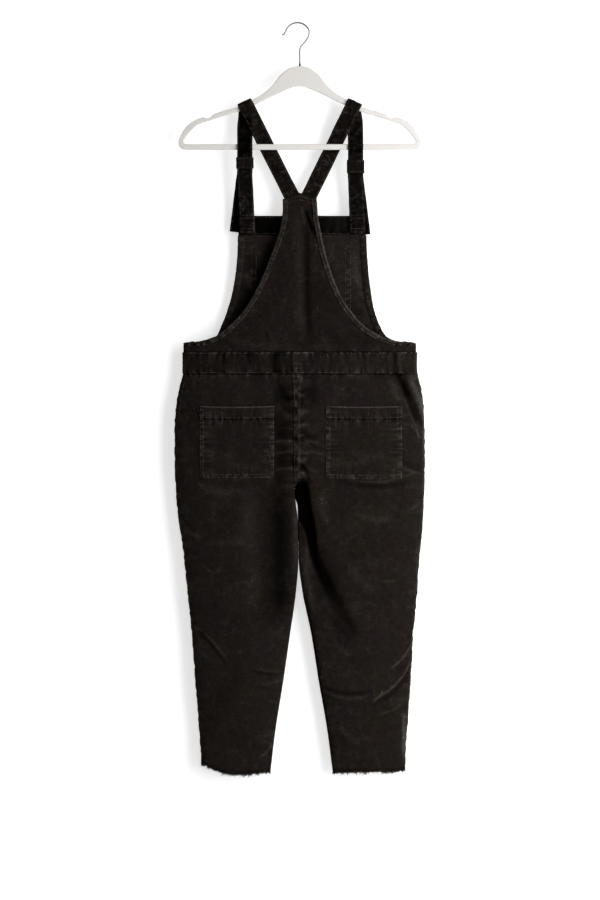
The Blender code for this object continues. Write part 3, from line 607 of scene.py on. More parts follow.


# Broad places on the back of the legs painted in shade, and lines painted pale as highlights, mostly
# on ridges.
legShade = {
    "left": [(-34, -640, -34, -880, 1, 22, 0.60), (-42, -860, -42, -1110, -3, 32, 0.52),
             (-6, -700, -6, -860, 0, 10, 0.34),
             (-20, -655, -20, -700, 0, 6, 0.25), (-100, -1170, -190, -1370, 6, 16, 0.16),
             (-205, -650, -215, -720, 0, 9, 0.18), (-150, -848, -60, -848, 3, 6, 0.20),
             (-188, -1120, -150, -1165, -5, 5, 0.25), (-90, -1190, -36, -1202, 3, 4, 0.30)],
    "right": [(20, -652, 32, -708, 0, 13, 0.30), (3, -1010, 64, -1385, 0, 5, 0.60),
              (180, -645, 216, -745, -3, 6, 0.60), (10, -740, 26, -800, 0, 9, 0.20),
              (180, -804, 226, -824, 2, 5, 0.30), (60, -844, 206, -848, 9, 5, 0.35),
              (40, -1224, 140, -1232, 9, 3.4, 0.40), (130, -1257, 200, -1198, 9, 4, 0.30),
              (34, -960, 48, -1070, 2, 15, 0.42), (48, -1000, 104, -1130, 8, 17, 0.50)],
}
legLight = {
    "left": [(-200, -1109, -142, -1170, -7, 1.6, 0.16), (-76, -1354, -51, -1328, 4, 1.4, 0.12),
             (-210, -1040, -206, -1090, 0, 2.0, 0.15), (-40, -700, -18, -728, 2, 2.4, 0.25),
             (-46, -792, -12, -789, 1, 1.6, 0.20), (-48, -772, -12, -769, 1, 1.6, 0.20)],
    "right": [(190, -690, 220, -765, -2, 1.4, 0.45), (168, -1190, 209, -1140, 5, 1.1, 0.36),
              (140, -1244, 206, -1174, 10, 1.3, 0.26), (143, -1275, 189, -1253, 4, 1.1, 0.12),
              (134, -1252, 153, -1230, 2, 1.6, 0.30), (94, -844, 213, -828, 9, 1.2, 0.08),
              (205, -660, 226, -720, -3, 3.0, 0.35), (5, -960, 26, -1090, 1, 6.0, 0.04)],
}


# 0 at a seam and 1 a full half width in, as the edge of a flattened tube.
def rise(share):
    share = np.clip(share, 0.0, 1.0)
    return (1.0 - (1.0 - share) ** cloth["roundness"]) ** (1.0 / cloth["roundness"])


# A leg's outer and inner edge, in rows read from the table.
def legEdges(side, rows):
    return (rows[..., 0], rows[..., 1]) if side == "left" else (rows[..., 3], rows[..., 2])

# A point on a leg. Depth is the tube's, closed towards the inner seam by as much as the crotch
# says, and pulled in where the deep fold lies.
def legPoints(side, face, share, height):
    rows = readTable(trouserRows, height)
    outer, inner = legEdges(side, rows)
    depth = rows[..., 4] if face == "back" else rows[..., 5]
    closing = np.clip(rows[..., 6], 0.0, 1.0)
    profile = rise(share) * (1.0 - closing * (1.0 - rise(1.0 - share)))
    x = outer + (inner - outer) * share
    sunk = foldDepth(x, height) if (side, face) == ("right", "back") else 0.0
    away = depth * profile * (1.0 - sunk) + 0.0006 * sunk
    towards = -1.0 if face == "back" else 1.0
    y = cloth["seamPlane"] + towards * away
    return np.stack(np.broadcast_arrays(x, y, height), axis=-1), sunk


# How deep the fold beside the crotch goes: soft-edged between its two sides.
def foldDepth(x, height):
    rows = readTable(foldRows, height)
    soft = 0.0045 + 0.012 * smoothStep((-0.93 - height) / 0.10)
    inside = smoothStep((x - rows[..., 0]) / soft) * smoothStep((rows[..., 1] - x) / soft)
    return inside * np.clip(rows[..., 2], 0.0, 1.0)


# What stands on a leg's smooth form, in millimetres, with where it is worn pale and painted with
# highlights, and where shade is painted.
def legRelief(side, face, x, z):
    seed = {"left": 10, "right": 20}[side] + {"back": 0, "front": 5}[face]
    outer, inner = legEdges(side, readTable(trouserRows, z))
    fromOuter, fromInner = np.abs(x - outer), np.abs(inner - x)
    below = legs["bandEdge"] - z
    drape = (1.5 * waves(x, z, 0.060, 0.190, seed) + 0.8 * waves(x, z, 0.024, 0.055, seed + 1)
             + 0.22 * waves(x, z, 0.009, 0.013, seed + 2)) * cloth["waves"]
    lines = crinkles(x, z, 0.021, 0.16, seed + 30) + 0.7 * crinkles(z, x, 0.013, 0.20, seed + 31)
    fine = 0.26 * waves(x, z, 0.0055, 0.0060, seed + 3) + 0.60 * lines
    folds = creases(x, z, legCreases[side, face])
    gathers = 1.1 * puckers(x, below, 0.0052, 0.007, seed + 4)
    edge = 0.7 * puckers(z, fromOuter, 0.0065, 0.009, seed + 5)
    seat = smoothStep((legs["seamEnd"] - 0.01 - z) / -0.02)
    middle = 1.3 * puckers(z, fromInner - 0.007, 0.0062, 0.011, seed + 6) * seat
    inseam = 0.6 * puckers(z, fromInner, 0.0070, 0.009, seed + 7) * (1.0 - seat)
    fromMiddle = np.abs(x - legs["seamMiddle"])
    halfSeam = legs["seamWidth"] / 2 + legs["seamFlare"] * smoothStep((z + 0.705) / 0.055)
    strip = smoothStep((halfSeam - fromMiddle) / 0.0012) * smoothStep((z - legs["seamEnd"]) / 0.003)
    if face == "front":
        strip = strip * 0.7
    relief = drape + fine + folds + gathers + edge + middle + inseam + strip * legs["seamProud"]
    ease = smoothStep(fromInner / 0.006) + seat
    relief = relief * np.clip(ease, 0.15, 1.0) * smoothStep((below + 0.004) / 0.006)
    ridge = (0.11 * lines + np.clip(folds, 0.0, 3.0) * 0.20
             + np.clip(gathers + edge + middle + inseam, 0, 1) * 0.35)
    rim = band(fromOuter, 0.0, 0.0022) * (0.25 + 0.4 * np.abs(waves(z, x, 0.012, 0.01, seed + 8)))
    if side == "right":
        rim = rim * (1.0 + 1.6 * smoothStep((z + 0.800) / 0.03))
    rub = ridge + rim + strip * (0.03 + 0.16 * np.abs(waves(z, x, 0.004, 0.004, seed + 9)))
    if (side, face) == ("right", "back"):
        worn = smoothStep((z + 1.362) / 0.02) * smoothStep((-1.262 - z) / 0.03)
        rub = rub + band(x, 0.1925, 0.0035) * worn * 0.8
    # Painted shade in crease and pucker troughs and along the waistband's lower edge.
    hollow = np.minimum(np.clip(-folds, 0.0, 4.0) * 0.09, 0.4) + band(below, 0.0, 0.0014) * 0.8
    hollow = hollow + np.clip(-gathers - middle, 0, 1) * 0.40
    if face == "back":
        # Broad places painted in shade, and lines painted pale as highlights.
        hollow = hollow + np.clip(strokes(x, z, legShade[side]), 0.0, 0.7)
        rub = rub + np.clip(strokes(x, z, legLight[side]), 0.0, 0.8)
    # Painted shade beside the felled seam down the seat.
    hollow = hollow + band(fromMiddle, halfSeam + 0.0008, 0.0010) * 0.45 * seat
    return relief, rub, hollow


# Shares down and across a leg's grid, closer together at its seams.
def legKeys():
    share = np.linspace(0.0, 1.0, 90)
    share = 0.70 * (1.0 - np.cos(math.pi * share)) / 2 + 0.30 * share
    return np.linspace(0.0, 1.0, 292), share


# One leg panel: its form from the waist to the cut hem, with its relief.
def makeLeg(side, face):
    down, share = legKeys()
    hem = np.interp(share, hemRows[side][:, 0], hemRows[side][:, 1])
    ragged = 0.0009 * waves(share * 0.2, share * 0.0, 0.0035, 1.0, 71)
    height = legs["top"] + down[:, None] * (hem + ragged - legs["top"])[None, :]
    share = np.repeat(share[None, :], len(down), axis=0)
    base, sunk = legPoints(side, face, share, height)
    x, z = base[..., 0], base[..., 2]
    relief, rub, hollow = legRelief(side, face, x, z)
    relief = relief * (1.0 - 0.6 * sunk)
    raw = band(down, 1.0, 0.0035)[:, None]
    rub = rub * (1.0 - sunk) + raw * 0.5 * np.abs(waves(x, z, 0.004, 0.02, 72))
    # Painted shade fills the deep fold beside the crotch and a band just above the cut hem.
    hollow = np.maximum(hollow, sunk * 1.6) + band(down, 0.9955, 0.0030)[:, None] * 0.6
    facing = (0.0, -1.0 if face == "back" else 1.0, 0.0)
    grids[f"{face}_leg_{side}"] = clothPanel(
        f"{face}_leg_{side}_cloth", base, relief, rub, hollow, facing, [f"{face}_leg_{side}"])


# A row of stitches down a leg between two heights, at a place worked out from its outer edge.
def sewDownLeg(side, face, place, high, low):
    z = np.linspace(high, low, 120)
    outer, inner = legEdges(side, readTable(trouserRows, z))
    at = (place(outer) - outer) / (inner - outer)
    hem = np.interp(at, hemRows[side][:, 0], hemRows[side][:, 1])
    sewLine(f"{face}_leg_stitches", grids[f"{face}_leg_{side}"], legKeys(),
            (z - legs["top"]) / (hem - legs["top"]), at, (0, -1 if face == "back" else 1, 0))


grids = {}
for side in ("left", "right"):
    for face in ("back", "front"):
        makeLeg(side, face)
for face in ("back", "front"):
    for side, aside, above in (("left", -0.0060, 0.008), ("right", 0.0027, 0.004)):
        sewDownLeg(side, face, lambda outer: legs["seamMiddle"] + aside + 0 * outer,
                   -0.6485, legs["seamEnd"] + above)
    for side, aside in (("left", 0.0075), ("right", -0.0075)):
        sewDownLeg(side, face, lambda outer: outer + aside, -0.6490, -0.722)
    makeStitches(f"{face}_leg_stitches", thread)
print("legs made")


hemThreads = {
    "spacing": 0.00028,
    "shortest": 0.0020,
    "longest": 0.0066,
    "radius": 0.00046,
}


# Loose threads along both cut edges of a leg: each a three-sided strand of four rings that starts
# in the cloth, bends sideways by a random amount and ends in a point.
def makeFringe(side):
    dice = np.random.default_rng(40 if side == "left" else 41)
    edges = [grids[f"{face}_leg_{side}"][-1] for face in ("back", "front")]
    roots = []
    for line in edges:
        run = runOf(line)
        at = np.arange(0.0, run[-1], hemThreads["spacing"])
        at = at + dice.uniform(-0.4, 0.4, len(at)) * hemThreads["spacing"]
        roots.append(np.stack([np.interp(at, run, line[:, k]) for k in range(3)], axis=1))
    roots = np.concatenate(roots)
    count = len(roots)
    tuft = 0.55 + 0.75 * smoothStep(0.5 + waves(roots[:, 0], roots[:, 1], 0.0035, 0.01, 42))
    spread = hemThreads["longest"] - hemThreads["shortest"]
    reach = (hemThreads["shortest"] + spread * dice.random(count) ** 1.7) * tuft
    lean = dice.normal(0.0, 0.35, (count, 2))
    curl = dice.normal(0.0, 0.30, (count, 2))
    steps = np.array([-0.35, 0.25, 0.65, 1.0])
    width = np.array([1.0, 1.0, 0.8, 0.15]) * hemThreads["radius"]
    t = steps[None, :] * reach[:, None]
    x = roots[:, :1] + lean[:, :1] * t + curl[:, :1] * t * steps
    y = roots[:, 1:2] + (lean[:, 1:] * t + curl[:, 1:] * t * steps) * 0.6
    y = y + np.where(roots[:, 1:2] < cloth["seamPlane"], 0.0005, -0.0005)
    z = roots[:, 2:] - t
    path = np.stack([x, y, z], axis=2)
    turn = np.arange(3) * math.tau / 3
    ring = np.stack([np.cos(turn), np.sin(turn), 0 * turn], axis=1)
    points = path[:, :, None] + ring[None, None] * width[None, :, None, None]
    tube = tubeFaces(4, 3)
    faces = repeated(tube[:-2], count, 12) + repeated(tube[-2:], count, 12)
    finishPiece(newMesh(f"hem_threads_{side}", points, faces, frayed),
                [f"hem_fringe_{side}"])
    print(f"hem_threads_{side}: {count} threads")


for side in ("left", "right"):
    makeFringe(side)


waistband = {
    "top": -0.6069,
    "bottom": legs["bandEdge"],
    "halfWidth": 0.2168,
    "depth": 0.0133,
    "wall": 0.0026,
}
bandCreases = [
    (175, -604, 178, -652, 1, 3.2, -1.7), (182, -606, 186, -650, 1, 4.0, 0.9),
    (-44, -606, -46, -650, 2, 5.0, -1.3), (-36, -608, -34, -646, 0, 4.0, 0.7),
    (-142, -606, -140, -632, 0, 3.0, -1.2), (-96, -608, -92, -630, 0, 3.0, -1.3),
    (60, -610, 58, -646, 1, 4.0, -0.9), (20, -608, 24, -640, 1, 3.0, -0.9),
    (118, -606, 120, -640, 1, 3.5, -0.8), (-200, -620, -160, -624, 1, 4.0, 0.5),
]


# 1 in the middle of the body and 0 at its side seams, for a share from -1 to 1.
def lens(share):
    return (1.0 - np.minimum(np.abs(share), 1.0) ** cloth["roundness"]) ** (1 / cloth["roundness"])


# The band is the body's lens-shaped section drawn straight down, with rounded top and bottom.
def makeWaistband(face):
    towards = -1.0 if face == "back" else 1.0
    seed = 100 if face == "back" else 120
    share = np.linspace(-1.0, 1.0, 230)
    share = 0.35 * np.sin(share * math.pi / 2) + 0.65 * share
    down = np.linspace(0.0, 1.0, 27)
    height = waistband["top"] + (waistband["bottom"] - waistband["top"]) * down
    x, z = np.meshgrid(waistband["halfWidth"] * share, height)
    y = cloth["seamPlane"] + towards * waistband["depth"] * lens(share)[None, :] + 0 * z
    base = np.stack([x, y, z], axis=2)
    upper, lower = waistband["top"] - z, z - waistband["bottom"]
    ribsHigh, ribsLow = (puckers(x, away, 0.0036, 0.0064, seed + k)
                         * (1.0 + 0.6 * waves(x, z, 0.03, 1.0, seed + 7 + k))
                         for k, away in enumerate((upper, lower)))
    drape = 0.5 * waves(x, z, 0.030, 0.030, seed + 2) + 0.18 * waves(x, z, 0.007, 0.012, seed + 3)
    folds = creases(x, z, bandCreases if face == "back" else bandCreases[2:8])
    seamAway = np.abs(x - legs["seamMiddle"])
    strip = smoothStep((0.0105 - seamAway) / 0.0014) * (1.0 if face == "back" else 0.0)
    knots = 0.5 * puckers(z, seamAway - 0.004, 0.0035, 0.007, seed + 4) * (face == "back")
    rounding = -1.1 * (band(upper, 0.0, 0.0012) + band(lower, 0.0, 0.0010))
    groove = -0.35 * (band(upper, 0.0022, 0.0009) + band(lower, 0.0022, 0.0009))
    relief = 1.5 * ribsHigh + 1.3 * ribsLow + drape + folds + strip * 0.8 + knots + rounding + groove
    flicker = 0.5 + 0.5 * waves(x, z, 0.006, 0.05, seed + 5)
    ends = smoothStep((np.abs(x) - 0.15) / 0.05)
    rub = (np.clip(ribsHigh, 0, 1) * 0.62 + np.clip(ribsLow, 0, 1) * 0.50
           + band(upper, 0.0004, 0.0013) * (0.30 + 0.5 * flicker + 0.35 * ends)
           + band(lower, 0.0012, 0.0012) * 0.20 * flicker
           + strip * 0.16 * flicker + np.clip(knots, 0, 1) * 0.5 + np.clip(folds, 0, 2) * 0.1)
    rub = rub + band(np.abs(x), waistband["halfWidth"], 0.004) * 0.3
    # Painted shade in crease and pucker troughs, along the lower edge, over the left half, left of
    # the middle seam and along its sides.
    hollow = (np.clip(-folds, 0, 2) * 0.34 + band(lower, -0.0004, 0.0010) * 0.9
              + np.clip(-ribsHigh, 0, 1) * 0.75 + np.clip(-ribsLow, 0, 1) * 0.65
              + 0.22 * smoothStep(-x / 0.05 + 0.5) + 0.30 * band(x, -0.034, 0.016) * (face == "back")
              + band(seamAway, 0.0112, 0.0012) * 0.35 * (face == "back"))
    raised = clothPanel(f"waistband_{face}_cloth", base, relief, rub, hollow, (0, towards, 0),
                        [f"waistband_{face}"], waistband["wall"])
    lines = [(at, np.linspace(-0.985, 0.985, 500)) for at in (0.055, 0.945)]
    if face == "back":
        lines += [(np.linspace(0.03, 0.97, 60), at / waistband["halfWidth"])
                  for at in (-0.0100, -0.0062, 0.0012)]
    group = f"waistband_{face}_stitches"
    for rowAt, columnAt in lines:
        sewLine(group, raised, (down, share), rowAt, columnAt, (0, towards, 0))
    makeStitches(group, thread)


for face in ("back", "front"):
    makeWaistband(face)
print("waistband made")


upper = {"halfWidth": 0.2150, "peak": 0.0118}
# Height, left and right edge, depth.
backRows = np.array([
    (-0.3242, -0.0306, 0.0305, 0.0030), (-0.3500, -0.0312, 0.0323, 0.0040),
    (-0.3750, -0.0345, 0.0362, 0.0050), (-0.4050, -0.0438, 0.0420, 0.0062),
    (-0.4400, -0.0572, 0.0510, 0.0074), (-0.4750, -0.0710, 0.0625, 0.0085),
    (-0.5100, -0.0895, 0.0785, 0.0096), (-0.5400, -0.1105, 0.1000, 0.0105),
    (-0.5620, -0.1335, 0.1215, 0.0112), (-0.5780, -0.1540, 0.1490, 0.0117),
    (-0.5870, -0.1810, 0.1750, 0.0120), (-0.5925, -0.2150, 0.2150, 0.0122),
    (-0.6096, -0.2150, 0.2150, 0.0125),
])
bibRows = np.array([
    (-0.3545, -0.1120, 0.1213, 0.0060), (-0.3897, -0.1136, 0.1222, 0.0068),
    (-0.4400, -0.1156, 0.1248, 0.0080), (-0.4850, -0.1218, 0.1294, 0.0092),
    (-0.5270, -0.1325, 0.1366, 0.0104), (-0.5560, -0.1435, 0.1465, 0.0112),
    (-0.5780, -0.1550, 0.1600, 0.0118), (-0.5880, -0.1800, 0.1840, 0.0121),
    (-0.5930, -0.2150, 0.2150, 0.0122), (-0.6096, -0.2150, 0.2150, 0.0125),
])
backCreases = [
    (7, -342, 22, -384, -2, 3.6, -3.0), (20, -378, 38, -416, -2, 3.0, -1.6),
    (15, -350, 34, -402, -2, 3.0, 1.4), (2, -336, 8, -372, 0, 3.0, 1.2),
    (13, -350, 18, -596, 3, 8.0, -1.7), (-4, -350, 2, -590, 0, 12.0, 1.0),
    (-10, -410, -8, -424, 0, 3.0, -0.7), (30, -470, 62, -520, 6, 8.0, -0.7),
    (-40, -470, -76, -545, -6, 10.0, -0.7), (-60, -560, -38, -604, 3, 4.0, 0.8),
    (-66, -562, -44, -604, 3, 4.0, -0.8), (90, -560, 130, -592, 5, 6.0, -0.9),
    (-130, -580, -70, -596, 4, 6.0, 0.7), (40, -560, 50, -600, 2, 5.0, 0.6),
    (-22, -330, -27, -352, 0, 2.6, 0.9), (24, -330, 29, -352, 0, 2.6, 0.9),
]
bibCreases = [
    (-92, -420, -70, -470, 4, 8.0, -1.6), (-100, -455, -78, -500, 4, 6.0, 1.2),
    (-105, -480, -72, -515, 4, 5.0, -1.4), (60, -404, 30, -470, -5, 12.0, 1.2),
    (104, -420, 118, -500, 3, 7.0, 1.4), (88, -500, 122, -540, 4, 6.0, -1.4),
    (100, -470, 122, -476, 2, 4.0, 0.9), (102, -486, 124, -492, 2, 4.0, -0.9),
    (-40, -560, 60, -575, 6, 8.0, 1.2), (-120, -560, -60, -590, 5, 7.0, -1.0),
    (96, -546, 150, -588, 6, 7.0, 1.0), (0, -400, 10, -560, 6, 16.0, -1.0),
]


# Broad places painted in shade, on the back panel (-1) and inside the bib (1).
upperShade = {
    -1.0: [(24, -352, 30, -392, -2, 5, 0.75), (14, -380, 18, -600, 2, 5, 0.22),
           (40, -560, 100, -596, 4, 10, 0.20)],
    1.0: [(-46, -405, -146, -596, -12, 13, 0.88), (-116, -400, -126, -520, 0, 8, 0.30),
          (-60, -400, -50, -440, 0, 14, 0.30), (-104, -400, -146, -600, -4, 26, 0.26),
          (116, -395, 126, -530, 0, 5, 0.45), (46, -400, 58, -480, 0, 8, 0.45),
          (80, -520, 150, -590, 5, 9, 0.45)],
}


# Rows spaced by the length of the panel's edge, so that they crowd where it runs sideways.
def edgeTable(rows):
    run = runOf(rows[:, [0, 2]])
    return np.column_stack([run, rows]), run[-1]


# A point on the upper body: between the edges at that height, on the body's lens-shaped section.
def upperGrid(rows, towards, down, share):
    table, length = edgeTable(rows)
    height, left, right, depth = np.moveaxis(readTable(table, down * length), -1, 0)
    x = (left + right) / 2 + (right - left) / 2 * share
    y = cloth["seamPlane"] + towards * depth * lens(x / upper["halfWidth"])
    return np.stack(np.broadcast_arrays(x, y, height), axis=-1)


# The smooth form of the back panel or bib, lifted to a peak at its top, with what stands on it.
def makeUpper(rows, towards, folds, seed, columns, peak):
    down, share = np.linspace(0, 1, 150), np.linspace(-1, 1, columns)
    downGrid, shareGrid = np.meshgrid(down, share, indexing="ij")
    base = upperGrid(rows, towards, downGrid, shareGrid)
    fade = np.clip(1.0 - downGrid / 0.09, 0.0, 1.0)
    base[..., 2] += peak * (1.0 - np.abs(shareGrid)) * fade
    x, z = base[..., 0], base[..., 2]
    table, length = edgeTable(rows)
    edges = readTable(table, downGrid * length)
    fromEdge = (1.0 - np.abs(shareGrid)) * (edges[..., 2] - edges[..., 1]) / 2
    drape = (0.9 * waves(x, z, 0.045, 0.110, seed) + 0.45 * waves(x, z, 0.018, 0.040, seed + 1)
             + 0.16 * waves(x, z, 0.008, 0.011, seed + 2)) * cloth["waves"]
    lines = crinkles(x, z, 0.018, 0.16, seed + 30) + 0.7 * crinkles(z, x, 0.012, 0.20, seed + 31)
    fine = 0.22 * waves(x, z, 0.005, 0.006, seed + 3) + 0.36 * lines
    laid = creases(x, z, folds)
    hem = puckers(downGrid * length, fromEdge - 0.0085, 0.0045, 0.006, seed + 4)
    foot = puckers(x, z - waistband["top"], 0.0055, 0.007, seed + 5)
    relief = drape + fine + laid + 0.45 * hem + 0.8 * foot
    rub = (np.clip(laid, 0, 2) * 0.14 + np.clip(hem, 0, 1) * 0.25 + np.clip(foot, 0, 1) * 0.3
           + 0.10 * lines)
    # Painted shade in crease troughs, along the waistband's top edge and over the broad places
    # above.
    hollow = np.clip(-laid, 0, 4) * 0.22 + band(z, waistband["top"], 0.0012) * 0.8
    hollow = hollow + np.clip(strokes(x, z, upperShade[towards]), 0.0, 0.95)
    if towards < 0:
        # The back panel is painted a little darker all over, and in shade along a line just inside
        # its binding.
        hollow = hollow + band(fromEdge, 0.0090, 0.0010) * 0.35 + 0.14
    else:
        # The bib's inside is painted lighter towards the right, where the light falls on it.
        rub = rub + 0.05 * smoothStep(x / 0.06)
    return (down, share), base, relief, rub, hollow


# A place on the bib found from its distance across and its height.
def onBib(x, z):
    table, length = edgeTable(bibRows)
    fine, shares = readTable(table, np.linspace(0.0, length, 500)), np.linspace(0.0, 1.0, 500)
    at = np.interp(-z, -fine[:, 0], shares)
    left, right = np.interp(at, shares, fine[:, 1]), np.interp(at, shares, fine[:, 2])
    return readGrid(grids["bib_front"], *bibKeys, at, (2 * x - left - right) / (right - left))


backKeys, base, relief, rub, hollow = makeUpper(backRows, -1.0, backCreases, 140, 120,
                                                upper["peak"])
rub = rub + 0.05 * smoothStep((0.010 - backKeys[0])[:, None] / 0.010)
grids["back_panel"] = clothPanel("back_panel_cloth", base, relief, rub, hollow, (0, -1, 0),
                                 ["back_panel"])
bibKeys, base, relief, rub, hollow = makeUpper(bibRows, 1.0, bibCreases, 160, 104, 0.0)
x, z = base[..., 0], base[..., 2]
for line in (-0.0855, 0.0910):
    along = smoothStep((z + 0.500) / 0.02) if line < 0 else smoothStep((z + 0.585) / 0.02)
    inside = smoothStep((-0.405 - z) / 0.006) * along
    ribs = puckers(z, np.abs(x - line) - 0.003, 0.0034, 0.0050, 180) * inside
    relief, rub = relief - 0.9 * ribs, rub + np.clip(-ribs, 0, 1) * 0.35
grids["bib_front"] = clothPanel("bib_cloth", base, relief, rub, hollow, (0, 1, 0), ["bib_front"])


# A strip carried along a panel's edge. Its profile is distance in from the edge and height off the
# panel, and a few soft puckers cross it.
def carryStrip(node, points, inward, outward, profile, wall, seed, rubAt, ribs=0.25):
    profile = np.array(profile)
    along = np.repeat(runOf(points)[:, None], len(profile), axis=1)
    inset, off = profile[:, 0] + 0 * along, profile[:, 1] + 0 * along
    base = (points[:, None] + inward[:, None] * inset[..., None]
            + outward[:, None] * off[..., None])
    bumps = puckers(along, inset, 0.0040, 0.02, seed)
    relief = ribs * bumps + 0.10 * waves(along, inset, 0.008, 0.004, seed + 1)
    worn = np.clip(waves(along, inset, 0.011, 0.02, seed + 2) * 0.5 + 0.75, 0.2, 1.2)
    rub = rubAt(inset) * worn + np.clip(bumps, 0, 1) * 0.35
    return clothPanel(f"{node}_cloth", base, relief, rub, 0 * rub, (0, -1, 0), [node], wall)

# Rows of stitches along a strip, each in a column of its grid.
def sewStrip(group, raised, columns):
    keys = np.arange(raised.shape[0]), np.arange(raised.shape[1])
    for column in columns:
        sewLine(group, raised, keys, keys[0], column, (0, -1, 0))


# Unit directions at a panel's edge: in from it across the cloth, and off the cloth.
def edgeFrame(points, inner, outward, facing):
    along = np.gradient(points, axis=0)
    along /= np.linalg.norm(along, axis=1)[:, None]
    outward = outward * np.sign(np.sum(outward * np.array(facing)))
    inward = np.cross(along, outward)
    inward *= np.sign(np.sum(inward[0] * (inner[0] - points[0])))
    inward /= np.linalg.norm(inward, axis=1)[:, None]
    return inward, np.cross(inward, along) * np.sign(np.sum(np.cross(inward, along) * outward))


# The turned binding: from the cloth's outside, round its raw edge, to its inside.
bindingProfile = [(0.0086, 0.0001), (0.0084, 0.0010), (0.0070, 0.0013), (0.0052, 0.0012),
                  (0.0034, 0.0014), (0.0016, 0.0015), (0.0002, 0.0013), (-0.0008, 0.0004),
                  (-0.0009, -0.0010), (0.0000, -0.0021), (0.0020, -0.0024), (0.0080, -0.0022)]


def bindingRub(inset):
    return band(inset, 0.0004, 0.0016) * 0.95 + band(inset, 0.0070, 0.0013) * 0.45 + 0.05


def makeBindings():
    table, length = edgeTable(backRows)
    at = np.linspace(0.0, table[-2, 0] / length - 0.004, 200)
    for side, edge in (("left", -1.0), ("right", 1.0)):
        full = np.full(len(at), edge)
        points, _ = readGrid(grids["back_panel"], *backKeys, at, full)
        inner, normals = readGrid(grids["back_panel"], *backKeys, at, full * 0.95)
        smooth = np.stack([np.convolve(np.pad(points[:, k], 4, mode="edge"), np.ones(9) / 9, "valid")
                           for k in range(3)], axis=1)
        smooth[:4], smooth[-4:] = points[:4], points[-4:]
        inward, outward = edgeFrame(smooth, inner, normals, (0, -1, 0))
        # The right binding is made paler than the left.
        strength = 0.95 if side == "right" else 0.35
        raised = carryStrip(f"back_binding_{side}", smooth, inward, outward, bindingProfile,
                            0.0007, 200 + int(edge), lambda inset: bindingRub(inset) * strength,
                            ribs=0.32)
        sewStrip("back_panel_stitches", raised, (1.6, 4.8))


makeBindings()
for inset in (0.012, 0.026):
    sewLine("back_panel_stitches", grids["back_panel"], backKeys, inset,
            np.linspace(-0.93, 0.93, 60), (0, -1, 0))
makeStitches("back_panel_stitches", thread)
print("back panel made")


bibTrim = {"bandBottom": -0.3897, "wall": 0.0011}


# The bib's band and facings lie on its inside, so they are seen past the back panel.
def makeBibTrim():
    top, bottom = bibRows[0, 0], bibTrim["bandBottom"]
    bandEnd = (top - bottom) / edgeTable(bibRows)[1]
    rows, columns = np.linspace(0.0, bandEnd, 22), np.linspace(-1.0, 1.0, 118)
    rowGrid, columnGrid = np.meshgrid(rows, columns, indexing="ij")
    points, normal = readGrid(grids["bib_front"], *bibKeys, rowGrid, columnGrid)
    normal = normal * np.sign(-normal[..., 1:2])
    x, z = points[..., 0], points[..., 2]
    base = points + normal * 0.0026
    low, high = z - bottom, top - z
    ribs = puckers(x, low, 0.0042, 0.012, 220) * (0.6 + 0.9 * smoothStep((x - 0.03) / 0.04))
    relief = 0.9 * ribs + 0.25 * waves(x, z, 0.012, 0.02, 221) - 0.7 * band(low, 0, 0.0012)
    rub = np.clip(ribs, 0, 1) * 0.30 + band(high, 0, 0.0012) * 0.25 + band(low, 0.0006, 0.001) * 0.15
    # The band is painted in deep shade, less towards the right, and more in pucker troughs.
    hollow = 0.88 - 0.35 * smoothStep((x - 0.035) / 0.035) + np.clip(-ribs, 0, 1) * 0.4
    raised = clothPanel("bib_band_cloth", base, relief, rub, hollow, (0, -1, 0),
                        ["bib_top_band"], bibTrim["wall"])
    for at in (0.07, 0.93):
        sewLine("bib_stitches", raised, (rows, columns), at * bandEnd,
                np.linspace(-0.98, 0.98, 300), (0, -1, 0))
    for side, edge in (("left", -1.0), ("right", 1.0)):
        at = np.linspace(bandEnd + 0.004, 0.905, 150)
        full = np.full(len(at), edge)
        points, _ = readGrid(grids["bib_front"], *bibKeys, at, full)
        inner, normals = readGrid(grids["bib_front"], *bibKeys, at, full * 0.95)
        inward, outward = edgeFrame(points, inner, normals, (0, -1, 0))
        flat = [(-0.0009, 0.0004), (-0.0004, 0.0022), (0.0012, 0.0028), (0.0040, 0.0029),
                (0.0075, 0.0028), (0.0102, 0.0026), (0.0110, 0.0016)]
        raised = carryStrip(
            f"bib_facing_{side}", points, inward, outward, flat, 0.0009, 230 + int(edge),
            lambda inset: band(inset, 0.0, 0.0013) * 0.10 + band(inset, 0.0102, 0.001) * 0.08)
        sewStrip("bib_facing_stitches", raised, (2.0, 4.6))


# Rows of stitches on the bib's inside, where the pocket in front is sewn on.
def sewThroughBib():
    for x, low in ((-0.0900, -0.492), (-0.0810, -0.492), (0.0850, -0.556), (0.0935, -0.556)):
        z = np.linspace(-0.411, low, 120)
        points, normals = onBib(np.full(120, x), z)
        inside = normals * np.sign(-normals[:, 1:2])
        sewRow("bib_stitches", points + inside * cloth["wall"], inside, (0, -1, 0))


makeBibTrim()
sewThroughBib()
makeStitches("bib_stitches", thread)
makeStitches("bib_facing_stitches", darkThread)
print("bib made")


bibPocket = {"left": -0.0855, "right": 0.0915, "top": -0.4110, "bottom": -0.5610, "hem": 0.020}


